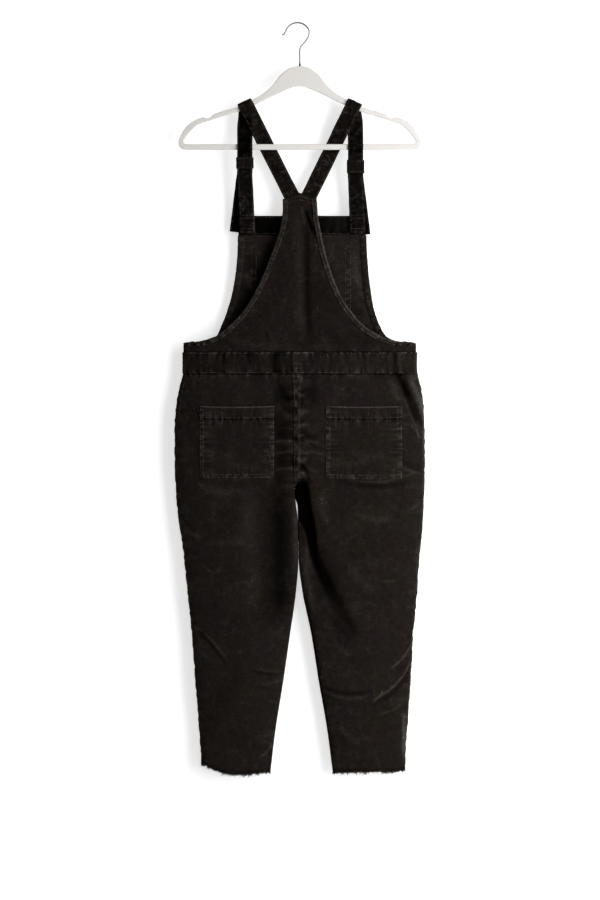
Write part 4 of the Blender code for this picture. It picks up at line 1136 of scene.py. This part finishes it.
# The pocket on the bib's outside follows the bib and is lifted by its own thickness.
def makeBibPocket():
    x, z = np.meshgrid(np.linspace(bibPocket["left"], bibPocket["right"], 74),
                       np.linspace(bibPocket["top"], bibPocket["bottom"], 64))
    points, normal = onBib(x, z)
    normal = normal * np.sign(normal[..., 1:2])
    edge = np.minimum(np.minimum(x - bibPocket["left"], bibPocket["right"] - x),
                      z - bibPocket["bottom"])
    mouth = bibPocket["top"] - z
    ribs = 0.6 * puckers(z + x, edge - 0.004, 0.0045, 0.006, 300)
    ribs = ribs + 0.7 * puckers(x, np.abs(mouth - bibPocket["hem"]), 0.0050, 0.006, 301)
    relief = ribs + 0.4 * waves(x, z, 0.035, 0.045, 302) + 0.3 * band(mouth, 0.008, 0.012)
    relief = relief - 0.5 * band(edge, 0.0, 0.0012)
    rub = band(edge, 0.0, 0.0013) * 0.5 + band(mouth, 0.0, 0.0013) * 0.7 + np.clip(ribs, 0, 1) * 0.4
    # Painted shade just under the mouth's hem.
    hollow = band(mouth, bibPocket["hem"] + 0.0008, 0.0008) * 0.6
    base = points + normal * 0.0019
    raised = clothPanel("bib_pocket_cloth", base, relief, rub, hollow, (0, 1, 0),
                        ["bib_pocket"], bibTrim["wall"])
    rows, columns, down = np.arange(64), np.arange(74), np.linspace(0.5, 63, 64)
    lines = []
    for inset in (0.8, 3.4):
        lines += [(down, inset), (down, 73 - inset), (63 - inset, columns)]
    for rowAt, columnAt in [*lines, (8.2, columns)]:
        sewLine("bib_pocket_stitches", raised, (rows, columns), rowAt, columnAt, (0, 1, 0))
    makeStitches("bib_pocket_stitches", thread)


makeBibPocket()

backPockets = {
    "left": {"left": -0.1846, "right": -0.0470, "top": -0.7066, "bottom": -0.8390},
    "right": {"left": 0.0475, "right": 0.1885, "top": -0.7066, "bottom": -0.8400},
    "hem": 0.0225,
    "lift": 1.7,                # how far the pocket's face stands off the leg, in millimetres
    "wall": 0.0011,
}
pocketCreases = {
    "left": [(-150, -738, -96, -744, 3, 7, -0.9), (-170, -790, -120, -800, 4, 8, 0.8),
             (-90, -770, -60, -800, 3, 7, -0.8), (-140, -812, -70, -818, 3, 6, 0.7),
             (-178, -756, -166, -760, 1, 3, 0.9), (-64, -742, -52, -746, 1, 3, 0.8)],
    "right": [(70, -742, 130, -736, 3, 7, -0.8), (90, -790, 160, -800, 4, 8, 0.8),
              (150, -760, 176, -790, 3, 7, -0.9), (60, -812, 130, -806, 3, 6, 0.7),
              (54, -772, 70, -776, 1, 3, 0.9), (166, -748, 182, -752, 1, 3, 0.9)],
}


# A patch pocket follows its leg's form and relief, stands off it, and is pressed down where sewn.
def makeBackPocket(side):
    values = backPockets[side]
    seed = 320 if side == "left" else 340
    across, rows = np.linspace(0.0, 1.0, 104), np.linspace(0.0, 1.0, 100)
    acrossGrid, rowGrid = np.meshgrid(across, rows)
    sag = 0.0014 * np.sin(math.pi * acrossGrid)
    x = values["left"] + (values["right"] - values["left"]) * acrossGrid
    z = values["top"] + (values["bottom"] - values["top"]) * rowGrid - sag
    outer, inner = legEdges(side, readTable(trouserRows, z))
    base, _ = legPoints(side, "back", (x - outer) / (inner - outer), z)
    under, _, _ = legRelief(side, "back", base[..., 0], base[..., 2])
    width, height = values["right"] - values["left"], values["top"] - values["bottom"]
    mouth = rowGrid * height
    foot = height - mouth
    fromSide = np.minimum(x - values["left"], values["right"] - x)
    edge = np.minimum(fromSide, foot)
    fromHem = mouth - backPockets["hem"]
    sideRibs = puckers(z, fromSide - 0.0045, 0.0030, 0.0100, seed)
    footRibs = puckers(x, foot - 0.0045, 0.0034, 0.0070, seed + 1)
    hemRibs = puckers(x, np.abs(fromHem), 0.0030, 0.0070, seed + 2)
    mouthRibs = puckers(x, mouth, 0.0050, 0.0040, seed + 3)
    folds = creases(x, z, pocketCreases[side])
    own = (1.00 * sideRibs + 0.70 * footRibs + 1.00 * hemRibs + 0.4 * mouthRibs + folds
           + 0.45 * waves(x, z, 0.020, 0.024, seed + 4) + 0.22 * waves(x, z, 0.006, 0.007, seed + 5))
    thick = 0.9 * smoothStep(-fromHem / 0.0016 + 0.5)
    pressed = (-0.9 * band(edge, 0.0, 0.0011) - 0.30 * band(edge, 0.0018, 0.0008)
               - 0.30 * band(edge, 0.0078, 0.0008) - 0.9 * band(mouth, 0.0, 0.0012))
    relief = under + backPockets["lift"] + own + thick + pressed
    flicker = 0.55 + 0.6 * waves(x + z, x - z, 0.005, 0.03, seed + 6)
    rub = (band(mouth, 0.0006, 0.0014) * (0.95 + 0.5 * flicker)
           + band(edge, 0.0005, 0.0010) * 0.45 * flicker
           + np.clip(sideRibs, 0, 1) * 0.36 + np.clip(footRibs, 0, 1) * 0.30
           + np.clip(hemRibs, 0, 1) * 0.40 + np.clip(folds, 0, 2) * 0.12
           + band(edge, 0.0048, 0.0016) * 0.16)
    # Painted shade just under the hem and in pucker troughs.
    hollow = (band(fromHem, 0.0010, 0.0009) * 0.75 + np.clip(-sideRibs, 0, 1) * 0.65
              + np.clip(-hemRibs, 0, 1) * 0.50 + np.clip(-footRibs, 0, 1) * 0.45)
    raised, normal = raiseGrid(base, relief * 0.001, (0, -1, 0))
    lowered = raised - normal * backPockets["wall"]
    tucked = band(edge, 0.0, 0.0009)[..., None] * 0.0010
    obj = clothMesh(f"back_pocket_{side}_cloth", raised - normal * tucked, lowered - normal * tucked,
                    rub, hollow, denim, (0, -1, 0))
    hangSheet(obj, base, [f"pocket_back_{side}"])
    lines = []
    for inset in (0.0019, 0.0078):
        low, first, last = 1 - inset / height, inset / width, 1 - inset / width
        down = np.linspace(0.01, low, 120)
        lines += [(down, first), (down, last), (low, np.linspace(first, last, 120))]
    lines.append(((backPockets["hem"] - 0.002) / height, np.linspace(0.01, 0.99, 120)))
    group = f"back_pocket_{side}_stitches"
    for rowAt, columnAt in lines:
        sewLine(group, raised, (rows, across), rowAt, columnAt, (0, -1, 0))
    makeStitches(group, thread)


for side in ("left", "right"):
    makeBackPocket(side)
print("pockets made")


hanger = {
    "thickness": 0.0050,
    "rounding": 0.0012,
    "barTop": -0.2230,
    "barBottom": -0.2332,
    "wire": 0.0030,
    "hookRadius": 0.0231,
    "hookCentre": -0.0042,
    "plateTop": -0.0786,
    "collarRadius": 0.0021,
    "collarHeight": 0.0040,
}
straps = {
    "width": 0.0285,
    "thickness": 0.0028,
    "inset": 0.0028,                    # from an edge to its row of stitches
    "lean": math.radians(26.9),         # lean of the back runs from the vertical
    "foldLean": math.radians(25.5),     # slope of the hanger's arm under the fold
    "foldRadius": 0.0046,
    "foldTop": -0.1448,
    "tailLean": math.radians(7.2),
    "tailLength": 0.136,
    "bibEnd": -0.3885,
    "aboveTurn": -0.279,
    "left": {"atBib": -0.0965, "atBar": -0.1014, "fold": -0.1025, "end": -0.0150,
             "keeperTop": -0.2479, "keeperBottom": -0.2677},
    "right": {"atBib": 0.1069, "atBar": 0.1029, "fold": 0.1019, "end": 0.0173,
              "keeperTop": -0.2529, "keeperBottom": -0.2765},
}
# Height and depth of each run where it passes the hanger's bar and arm.
frontRun = np.array([(-0.3885, 0.0026), (-0.352, 0.0026), (-0.310, -0.0020), (-0.279, -0.0044),
                     (-0.246, -0.0044), (-0.236, -0.0047), (-0.2225, -0.0047),
                     (-0.2075, 0.0019), (-0.186, 0.0031), (-0.166, 0.0045)])
backRun = np.array([(-0.166, -0.0045), (-0.186, -0.0031), (-0.198, -0.0018), (-0.2145, 0.0047),
                    (-0.238, 0.0047), (-0.290, 0.0032)])


# Places down a strap: distance along it, its middle, its lean and the way its outside faces. It
# climbs from the bib, turns over the arm on a half circle and runs down to the back panel.
def strapTable(values, hand):
    down = np.array([hand * math.sin(straps["foldLean"]), 0.0, -math.cos(straps["foldLean"])])
    centre = np.array([values["fold"], 0.0, straps["foldTop"]]) + down * straps["foldRadius"]
    places = []
    for height, depth in frontRun:
        part = np.clip((height - straps["bibEnd"]) / (straps["aboveTurn"] - straps["bibEnd"]), 0, 1)
        turn = float(smoothStep((height + 0.200) / 0.052))
        x = values["atBib"] + (values["atBar"] - values["atBib"]) * part + hand * 0.0016 * turn
        places.append((x, depth, height, hand * straps["foldLean"] * turn, 0.0, 1.0, 0.0))
    for angle in np.radians([0.0, 40.0, 90.0, 140.0, 180.0]):
        out = np.array([0.0, math.cos(angle), 0.0]) - down * math.sin(angle)
        places.append((*(centre + out * straps["foldRadius"]), hand * straps["foldLean"], *out))
    start = places[-1]
    slope = (values["end"] - start[0]) / (-0.318 - start[2])
    for height, depth in [*backRun, (-0.318, 0.0026), (-0.330, 0.0026)]:
        x = start[0] + slope * (height - start[2])
        places.append((x, depth, height, hand * straps["lean"], 0.0, -1.0, 0.0))
    return withRun(np.array(places))


# The same for a slack end, which hangs straight below its keeper and then leans outwards.
def tailTable(values, outward):
    top, turn = values["keeperTop"] - 0.001, values["keeperBottom"] - 0.004
    lengths = np.array([0.0, top - turn, 0.045, 0.100, 0.122, straps["tailLength"]])
    depths = np.array([-0.0011, -0.0011, 0.0012, 0.0098, 0.0104, 0.0104])
    leans = np.array([0.0, 0.3, 1.0, 1.0, 1.0, 1.0]) * straps["tailLean"] * outward
    heights = top - lengths
    x = values["atBar"] + outward * np.maximum(turn - heights, 0.0) * math.tan(straps["tailLean"])
    flat = np.zeros(len(x))
    return withRun(np.stack([x, depths, heights, leans, flat, flat + 1.0, flat], axis=1))


def withRun(places):
    return np.column_stack([runOf(places[:, :3]), places])


# A strap: its middle grid, with both faces lifted by half its thickness, thinner at the edges, and
# shared wrinkles across it. Returns both faces with the way they look.
def makeRibbon(name, table, seed, replaced, shade):
    length, width = table[-1, 0], straps["width"]
    rows = int(length / 0.0021)
    run = np.linspace(0.0, length, rows)
    at = readTable(table, run)
    side = np.linspace(-1.0, 1.0, 19)
    lean = at[:, 3]
    across = np.stack([np.cos(lean), 0 * lean, np.sin(lean)], axis=1)
    out = at[:, 4:7] / np.linalg.norm(at[:, 4:7], axis=1)[:, None]
    alongGrid, sideGrid = np.meshgrid(run, side * width / 2, indexing="ij")
    uneven = 1.0 + 0.022 * waves(alongGrid, 0 * sideGrid, 0.013, 1.0, seed + 5)
    middle = at[:, None, :3] + across[:, None] * (sideGrid * uneven)[..., None]
    fromEdge = width / 2 - np.abs(sideGrid)
    bend = (0.40 * waves(alongGrid, sideGrid, 0.016, 0.018, seed)
            + 0.28 * waves(alongGrid, sideGrid, 0.0065, 0.011, seed + 1)) * 0.001
    fromSeam = fromEdge - straps["inset"]
    ribs = puckers(alongGrid + np.sign(sideGrid) * 0.31, fromSeam, 0.0030, 0.0040, seed + 2)
    dents = np.tanh(2.5 * waves(alongGrid, sideGrid, 0.0024, 0.0052, seed + 8))
    lines = crinkles(alongGrid, sideGrid, 0.011, 0.24, seed + 6)
    lines = lines + crinkles(sideGrid, alongGrid, 0.009, 0.24, seed + 7)
    body = (1.0 - np.abs(side) ** 10) ** 0.5 * straps["thickness"] / 2
    seam = -0.00018 * band(fromSeam, 0.0, 0.0007)
    ends = smoothStep(np.minimum(alongGrid, length - alongGrid) / 0.002 + 0.4)
    half = body[None, :] * (0.82 + 0.18 * ends) + 0.00045 * ribs + 0.00035 * lines + seam
    half = np.maximum(half + 0.00022 * dents, 0.00005)
    outer = middle + out[:, None] * (bend + half)[..., None]
    inner = middle + out[:, None] * (bend - half)[..., None]
    fleck = np.abs(waves(alongGrid, sideGrid, 0.004, 0.0026, seed + 3))
    rub = (band(fromEdge, 0.0004, 0.0010) * (0.25 + 0.6 * fleck) + np.clip(ribs, 0, 1) * 0.24
           + np.clip(bend / 0.0006, 0, 1) * 0.06 + 0.30 * lines)
    rub = rub * (0.8 + 0.3 * dents) + np.clip(dents, 0, 1) * 0.035
    # Painted shade in pucker troughs and dents, and where the shade function says.
    hollow = np.clip(-ribs, 0, 1) * 0.30 + np.clip(-dents, 0, 1) * 0.25
    hollow = hollow + shade(middle[..., 0], middle[..., 1], middle[..., 2])
    facing = np.repeat(out[:, None], len(side), axis=1)
    obj = clothMesh(name, outer, inner, rub, hollow, strapDenim, facing)
    hangSheet(obj, middle, replaced)
    return outer, inner, out, run, side


# A row of stitches down each edge of a strap, on both its faces.
def sewRibbon(faces):
    outer, inner, out, run, side = faces
    at = np.linspace(0.004, run[-1] - 0.004, 300)
    share = 1.0 - 2 * straps["inset"] / straps["width"]
    looks = np.stack([np.interp(at, run, out[:, k]) for k in range(3)], axis=1)
    for edge in (-share, share):
        for grid, sign in ((outer, 1.0), (inner, -1.0)):
            sewLine("strap_stitches", grid, (run, side), at, edge, looks * sign)


# A keeper is a rounded oblong ring round the strap and its slack end, drawn straight down.
def makeKeeper(side, values, seed):
    halfWidth = straps["width"] / 2 + 0.0018
    halfDepth = 0.0048
    middle = np.array([values["atBar"], -0.00275, 0.0])
    turn = np.linspace(0.004, math.tau - 0.004, 4001) + math.pi / 2
    x = halfWidth * np.sign(np.cos(turn)) * np.abs(np.cos(turn)) ** 0.26
    y = halfDepth * np.sign(np.sin(turn)) * np.abs(np.sin(turn)) ** 0.26
    around = runOf(np.stack([x, y], axis=1))
    even = np.linspace(0.0, around[-1], 150)
    x, y = np.interp(even, around, x), np.interp(even, around, y)
    z = np.linspace(values["keeperTop"], values["keeperBottom"], 15)
    ring = np.stack([x, y, 0 * x], axis=1) + middle
    base = np.repeat(ring[None], len(z), axis=0)
    base[..., 2] = z[:, None]
    around = runOf(ring)
    aroundGrid, zGrid = np.meshgrid(around, z)
    away = np.minimum(values["keeperTop"] - zGrid, zGrid - values["keeperBottom"])
    ribs = puckers(aroundGrid, away - 0.002, 0.0040, 0.006, seed)
    relief = 0.35 * ribs + 0.18 * waves(aroundGrid, zGrid, 0.009, 0.006, seed + 1)
    outwards = base - middle
    outwards[..., 2] = 0.0
    outwards /= np.linalg.norm(outwards, axis=2, keepdims=True)
    normal = gridNormals(base)
    normal *= np.sign(np.sum(normal * outwards))
    outer = base + normal * (relief * 0.001)[..., None]
    inner = outer - normal * 0.0011
    rub = band(away, 0.0002, 0.0010) * 0.16 + np.clip(ribs, 0, 1) * 0.20 + 0.02
    # Painted shade along a line just inside each row of stitches.
    hollow = band(away, 0.0026, 0.0006) * 0.3
    obj = clothMesh(f"strap_keeper_{side}_cloth", outer, inner, rub, hollow, strapDenim, normal)
    hangSheet(obj, base, [f"strap_keeper_{side}"])
    at = np.linspace(around[-1] * 0.27, around[-1] * 0.73, 60)
    for height in (values["keeperTop"] - 0.0022, values["keeperBottom"] + 0.0022):
        sewLine("strap_stitches", outer, (-z, around), -height, at, (0, -1, 0))


# The front run is painted in shade above its keeper, just under the keeper and more lightly all the
# way below it; every run is painted in shade just under the hanger's bar.
def strapShade(values, depth):
    def shade(x, y, z):
        front = smoothStep((np.abs(x) - 0.086) / 0.006) * smoothStep((-0.168 - z) / 0.01)
        above = depth * smoothStep((z - values["keeperTop"]) / 0.004)
        under = 0.8 * band(z, values["keeperBottom"] - 0.0018, 0.0016)
        below = 0.30 * smoothStep((values["keeperBottom"] - z) / 0.004)
        return front * (above + under + below) + 0.4 * band(z, hanger["barBottom"] - 0.002, 0.003)
    return shade


for side, hand in (("left", 1.0), ("right", -1.0)):
    values = straps[side]
    seed = 400 if side == "left" else 440
    faces = makeRibbon(f"strap_{side}_cloth", strapTable(values, hand), seed, [f"strap_{side}"],
                       strapShade(values, 0.75 if side == "left" else 0.45))
    sewRibbon(faces)
    _, inner, _, run, across = faces
    for at in (0.0035, 0.0100, 0.0290, 0.0345):
        sewLine("strap_stitches", inner, (run, across), at, np.linspace(-0.86, 0.86, 30), (0, -1, 0))
    # The slack ends are painted in deep shade all over.
    faces = makeRibbon(f"strap_tail_{side}_cloth", tailTable(values, -hand), seed + 20,
                       [f"strap_tail_{side}"], lambda x, y, z: 0.85 + 0 * z)
    sewRibbon(faces)
    makeKeeper(side, values, seed + 30)
makeStitches("strap_stitches", thread)
print("straps made")


# Smooth line through points, with the same number of steps between each pair.
def roundLine(points, steps):
    points = np.array(points)
    before = np.concatenate([[2 * points[0] - points[1]], points[:-1]])
    after = np.concatenate([points[1:], [2 * points[-1] - points[-2]]])
    slopes = (after - before) / 2
    t = (np.arange(steps) / steps)[None, :, None]
    start, end = points[:-1, None, :], points[1:, None, :]
    line = (start * (2 * t**3 - 3 * t**2 + 1) + end * (3 * t**2 - 2 * t**3)
            + slopes[:-1, None, :] * (t**3 - 2 * t**2 + t) + slopes[1:, None, :] * (t**3 - t**2))
    return np.concatenate([line.reshape(-1, points.shape[1]), points[-1:]])


hangerEdge = [(0.0, -0.0786), (0.0150, -0.0813), (0.0250, -0.0869), (0.0350, -0.0950),
              (0.0416, -0.1035), (0.0480, -0.1118), (0.0560, -0.1202), (0.0660, -0.1284),
              (0.0770, -0.1355), (0.1025, -0.1483), (0.1175, -0.1553), (0.1280, -0.1583),
              (0.1385, -0.1609), (0.1569, -0.1672)]
hangerNotch = [(0.1600, -0.1688), (0.1640, -0.1730), (0.1680, -0.1750), (0.1730, -0.1749),
               (0.1768, -0.1731)]
hangerTip = [(0.1800, -0.1733), (0.1900, -0.1771), (0.2030, -0.1846), (0.2115, -0.1938),
             (0.2190, -0.2055), (0.2230, -0.2150), (0.2238, -0.2210), (0.2222, -0.2265),
             (0.2168, -0.2315), (0.2085, -0.2332)]
hangerOpening = [(0.0, -0.1156), (0.0125, -0.1176), (0.0300, -0.1250), (0.0520, -0.1352),
                 (0.0735, -0.1460), (0.1025, -0.1588), (0.1255, -0.1667), (0.1385, -0.1706),
                 (0.1569, -0.1761), (0.1768, -0.1830), (0.1901, -0.1884), (0.2031, -0.2012),
                 (0.2105, -0.2112), (0.2138, -0.2166), (0.2122, -0.2218), (0.2060, -0.2230)]
hookTip = [(-0.0318, -0.0207), (-0.0288, -0.0193), (-0.0270, -0.0165)]
hookBend = [(0.0172, -0.0140), (0.0172, -0.0180), (0.0164, -0.0220), (0.0150, -0.0257),
            (0.0128, -0.0295), (0.0095, -0.0342), (0.0055, -0.0387), (0.0020, -0.0428),
            (0.0003, -0.0470), (0.0, -0.0520)]


# The flat hanger: its outline and opening are filled, drawn out to its thickness and rounded.
def makeHangerBody():
    curve = bpy.data.curves.new("hanger_outline", "CURVE")
    curve.dimensions, curve.fill_mode = "2D", "BOTH"
    curve.bevel_depth, curve.bevel_resolution = hanger["rounding"], 2
    curve.offset = -hanger["rounding"]
    curve.extrude = hanger["thickness"] / 2 - hanger["rounding"]
    outer = np.concatenate([roundLine(hangerEdge, 5), roundLine(hangerNotch, 4),
                            roundLine(hangerTip, 5), [(0.0, hanger["barBottom"])]])
    opening = np.concatenate([roundLine(hangerOpening, 5), [(0.0, hanger["barTop"])]])
    for half in (outer, opening):
        other = half[::-1] * np.array([-1.0, 1.0])
        outline = np.concatenate([half, other[np.abs(other[:, 0]) > 1e-9]])
        spline = curve.splines.new("POLY")
        spline.points.add(len(outline) - 1)
        flat = np.column_stack([outline, np.zeros(len(outline)), np.ones(len(outline))])
        spline.points.foreach_set("co", flat.ravel())
        spline.use_cyclic_u = True
    shape = bpy.data.objects.new("hanger_outline", curve)
    bpy.context.scene.collection.objects.link(shape)
    graph = bpy.context.evaluated_depsgraph_get()
    made = bpy.data.meshes.new_from_object(shape.evaluated_get(graph))
    points = np.empty(len(made.vertices) * 3)
    made.vertices.foreach_get("co", points)
    x, z, y = points.reshape(-1, 3).T
    faces = [tuple(face.vertices) for face in made.polygons]
    obj = newMesh("hanger_body_smooth", np.stack([x, -y, z], axis=1), faces, flock)
    flatFaces = [abs(face.normal[1]) < 0.999 for face in obj.data.polygons]
    obj.data.polygons.foreach_set("use_smooth", flatFaces)
    bpy.data.objects.remove(shape, do_unlink=True)
    bpy.data.curves.remove(curve)
    bpy.data.meshes.remove(made)
    finishPiece(obj, ["hanger_body"])


# A tube along a line in the plane of the hanger, rounded at its tip.
def makeHook():
    turns = np.radians(np.linspace(158.0, 30.0, 15))
    radius = hanger["hookRadius"]
    circle = np.stack([hanger["hookCentre"] + radius * np.cos(turns),
                       hanger["wire"] / 2 - radius + radius * np.sin(turns)], axis=1)
    foot = hanger["plateTop"] + hanger["collarHeight"] + 0.0002
    line = roundLine(np.concatenate([hookTip, circle, hookBend, [(0.0, foot)]]), 6)
    ahead = np.gradient(line, axis=0)
    ahead /= np.linalg.norm(ahead, axis=1)[:, None]
    wire = hanger["wire"] / 2
    cap = np.linspace(0.15, math.pi / 2, 6)
    line = np.concatenate([line[:1] - ahead[:1] * wire * np.cos(cap)[:, None], line[1:]])
    ahead = np.concatenate([np.repeat(ahead[:1], len(cap), axis=0), ahead[1:]])
    size = np.concatenate([np.sin(cap) * wire, np.full(len(line) - len(cap), wire)])
    turn = np.arange(20) * math.tau / 20
    aside = np.stack([-ahead[:, 1], ahead[:, 0]], axis=1)
    x = line[:, :1] + aside[:, :1] * np.cos(turn) * size[:, None]
    z = line[:, 1:] + aside[:, 1:] * np.cos(turn) * size[:, None]
    y = np.sin(turn)[None, :] * size[:, None]
    points = np.stack([x, y, z], axis=2)
    finishPiece(newMesh("hanger_hook_wire", points, tubeFaces(len(line), 20), steel),
                ["hanger_hook"])



# The ferrule at the hook's foot: rings of a turned profile, with a bead at each end.
def makeCollar():
    low = hanger["plateTop"] + 0.0003
    radius, height = hanger["collarRadius"], hanger["collarHeight"]
    profile = [(0.55, 0.0), (0.92, 0.0), (1.0, 0.05), (1.0, 0.22), (0.90, 0.30), (0.90, 0.68),
               (0.98, 0.76), (0.98, 0.92), (0.88, 1.0), (0.5, 1.0)]
    turn = np.arange(40) * math.tau / 40
    points = np.array([[(r * radius * math.cos(t), r * radius * math.sin(t), low + h * height)
                        for t in turn] for r, h in profile])
    faces = [face[::-1] for face in tubeFaces(len(profile), 40)]
    finishPiece(newMesh("hook_collar_turned", points, faces, ferrule),
                ["hook_collar"])


makeHangerBody()
makeHook()
makeCollar()
print("hanger made")


studio = {
    "target": -0.75,            # height the lights aim at
    "key": 51.0,                # watts of the tall soft light on the right
    "fill": 10.0,               # watts of the soft light above
    "around": 0.12,             # brightness of the room
    "behind": 60.0,             # watts of the soft light on the far side
    "wall": 0.023,              # distance of the white wall from the hanger's plane
    "wallTone": 0.66,           # how much light the wall throws back
    "wallGlow": 0.58,           # how much it gives of its own
    "floor": -1.66,             # height of the floor
}


# A pale floor, and a white wall that is clear from behind and keeps no light from the piece.
def makeStage():
    wallLook = Finish("white_wall", roughness=1.0, specular=0.0)
    wallLook.set("Base Color", (studio["wallTone"],) * 3)
    wallLook.set("Emission Color", (1.0, 1.0, 1.0))
    wallLook.set("Emission Strength", studio["wallGlow"])
    nodes, links = wallLook.tree.nodes, wallLook.tree.links
    seenBehind = nodes.new("ShaderNodeNewGeometry")
    clear = nodes.new("ShaderNodeBsdfTransparent")
    either = nodes.new("ShaderNodeMixShader")
    links.new(seenBehind.outputs["Backfacing"], either.inputs[0])
    links.new(wallLook.shader.outputs[0], either.inputs[1])
    links.new(clear.outputs[0], either.inputs[2])
    links.new(either.outputs[0], nodes["Material Output"].inputs["Surface"])
    y, low = studio["wall"], studio["floor"]
    corners = [(-1.2, y, low), (1.2, y, low), (1.2, y, 1.0), (-1.2, y, 1.0)]
    wall = newMesh("stage_wall", corners, [(0, 1, 2, 3)], wallLook.material, smooth=False)
    wall.visible_diffuse = wall.visible_glossy = wall.visible_shadow = False
    wall.visible_transmission = False
    floorLook = Finish("pale_floor", roughness=0.9, specular=0.1)
    floorLook.set("Base Color", (0.80, 0.80, 0.80))
    corners = [(-4.0, -6.0, low), (4.0, -6.0, low), (4.0, 4.0, low), (-4.0, 4.0, low)]
    newMesh("stage_floor", corners, [(0, 1, 2, 3)], floorLook.material, smooth=False)


# A soft oblong light at a place measured from the target, which it faces.
def addLight(name, place, size, height, watts):
    light = bpy.data.lights.new(name, "AREA")
    light.energy, light.shape = watts, "RECTANGLE"
    light.size, light.size_y = size, height
    obj = bpy.data.objects.new(name, light)
    away = np.array(place)
    obj.location = away + np.array([hangerMiddle, 0.0, studio["target"]])
    flat = math.hypot(away[0], away[1])
    obj.rotation_euler = (math.atan2(flat, away[2]), 0.0, math.atan2(away[0], -away[1]))
    bpy.context.scene.collection.objects.link(obj)


# The room is white to look at and gives a little light from all around.
def makeRoom():
    world = bpy.data.worlds.new("room")
    bpy.context.scene.world = world
    world.use_nodes = True
    nodes, links = world.node_tree.nodes, world.node_tree.links
    ground = nodes["Background"]
    seen = nodes.new("ShaderNodeLightPath")
    strength = nodes.new("ShaderNodeMapRange")
    strength.inputs["To Min"].default_value = studio["around"]
    strength.inputs["To Max"].default_value = 1.0
    links.new(seen.outputs["Is Camera Ray"], strength.inputs["Value"])
    links.new(strength.outputs[0], ground.inputs["Strength"])
    ground.inputs["Color"].default_value = (1.0, 1.0, 1.0, 1.0)


def makeCamera():
    data = bpy.data.cameras.new("camera")
    data.sensor_fit = "VERTICAL"
    data.sensor_height = 24.0
    data.lens = 12.0 / math.tan(math.radians(18.87 / 2))
    data.clip_end = 50.0
    camera = bpy.data.objects.new("camera", data)
    camera.location = (hangerMiddle + 0.0004, -5.0, -0.7875)
    camera.rotation_euler = (math.pi / 2, 0.0, 0.0)
    bpy.context.scene.collection.objects.link(camera)
    bpy.context.scene.camera = camera


makeStage()
makeRoom()
addLight("key", (1.25, -0.90, 0.10), 1.1, 2.4, studio["key"])
addLight("behind", (-1.5, 2.4, 0.9), 1.6, 1.6, studio["behind"])
addLight("fill", (-0.4, -2.6, 1.8), 1.2, 1.2, studio["fill"])
makeCamera()
bpy.context.scene.view_settings.view_transform = "Standard"
print("stage made")
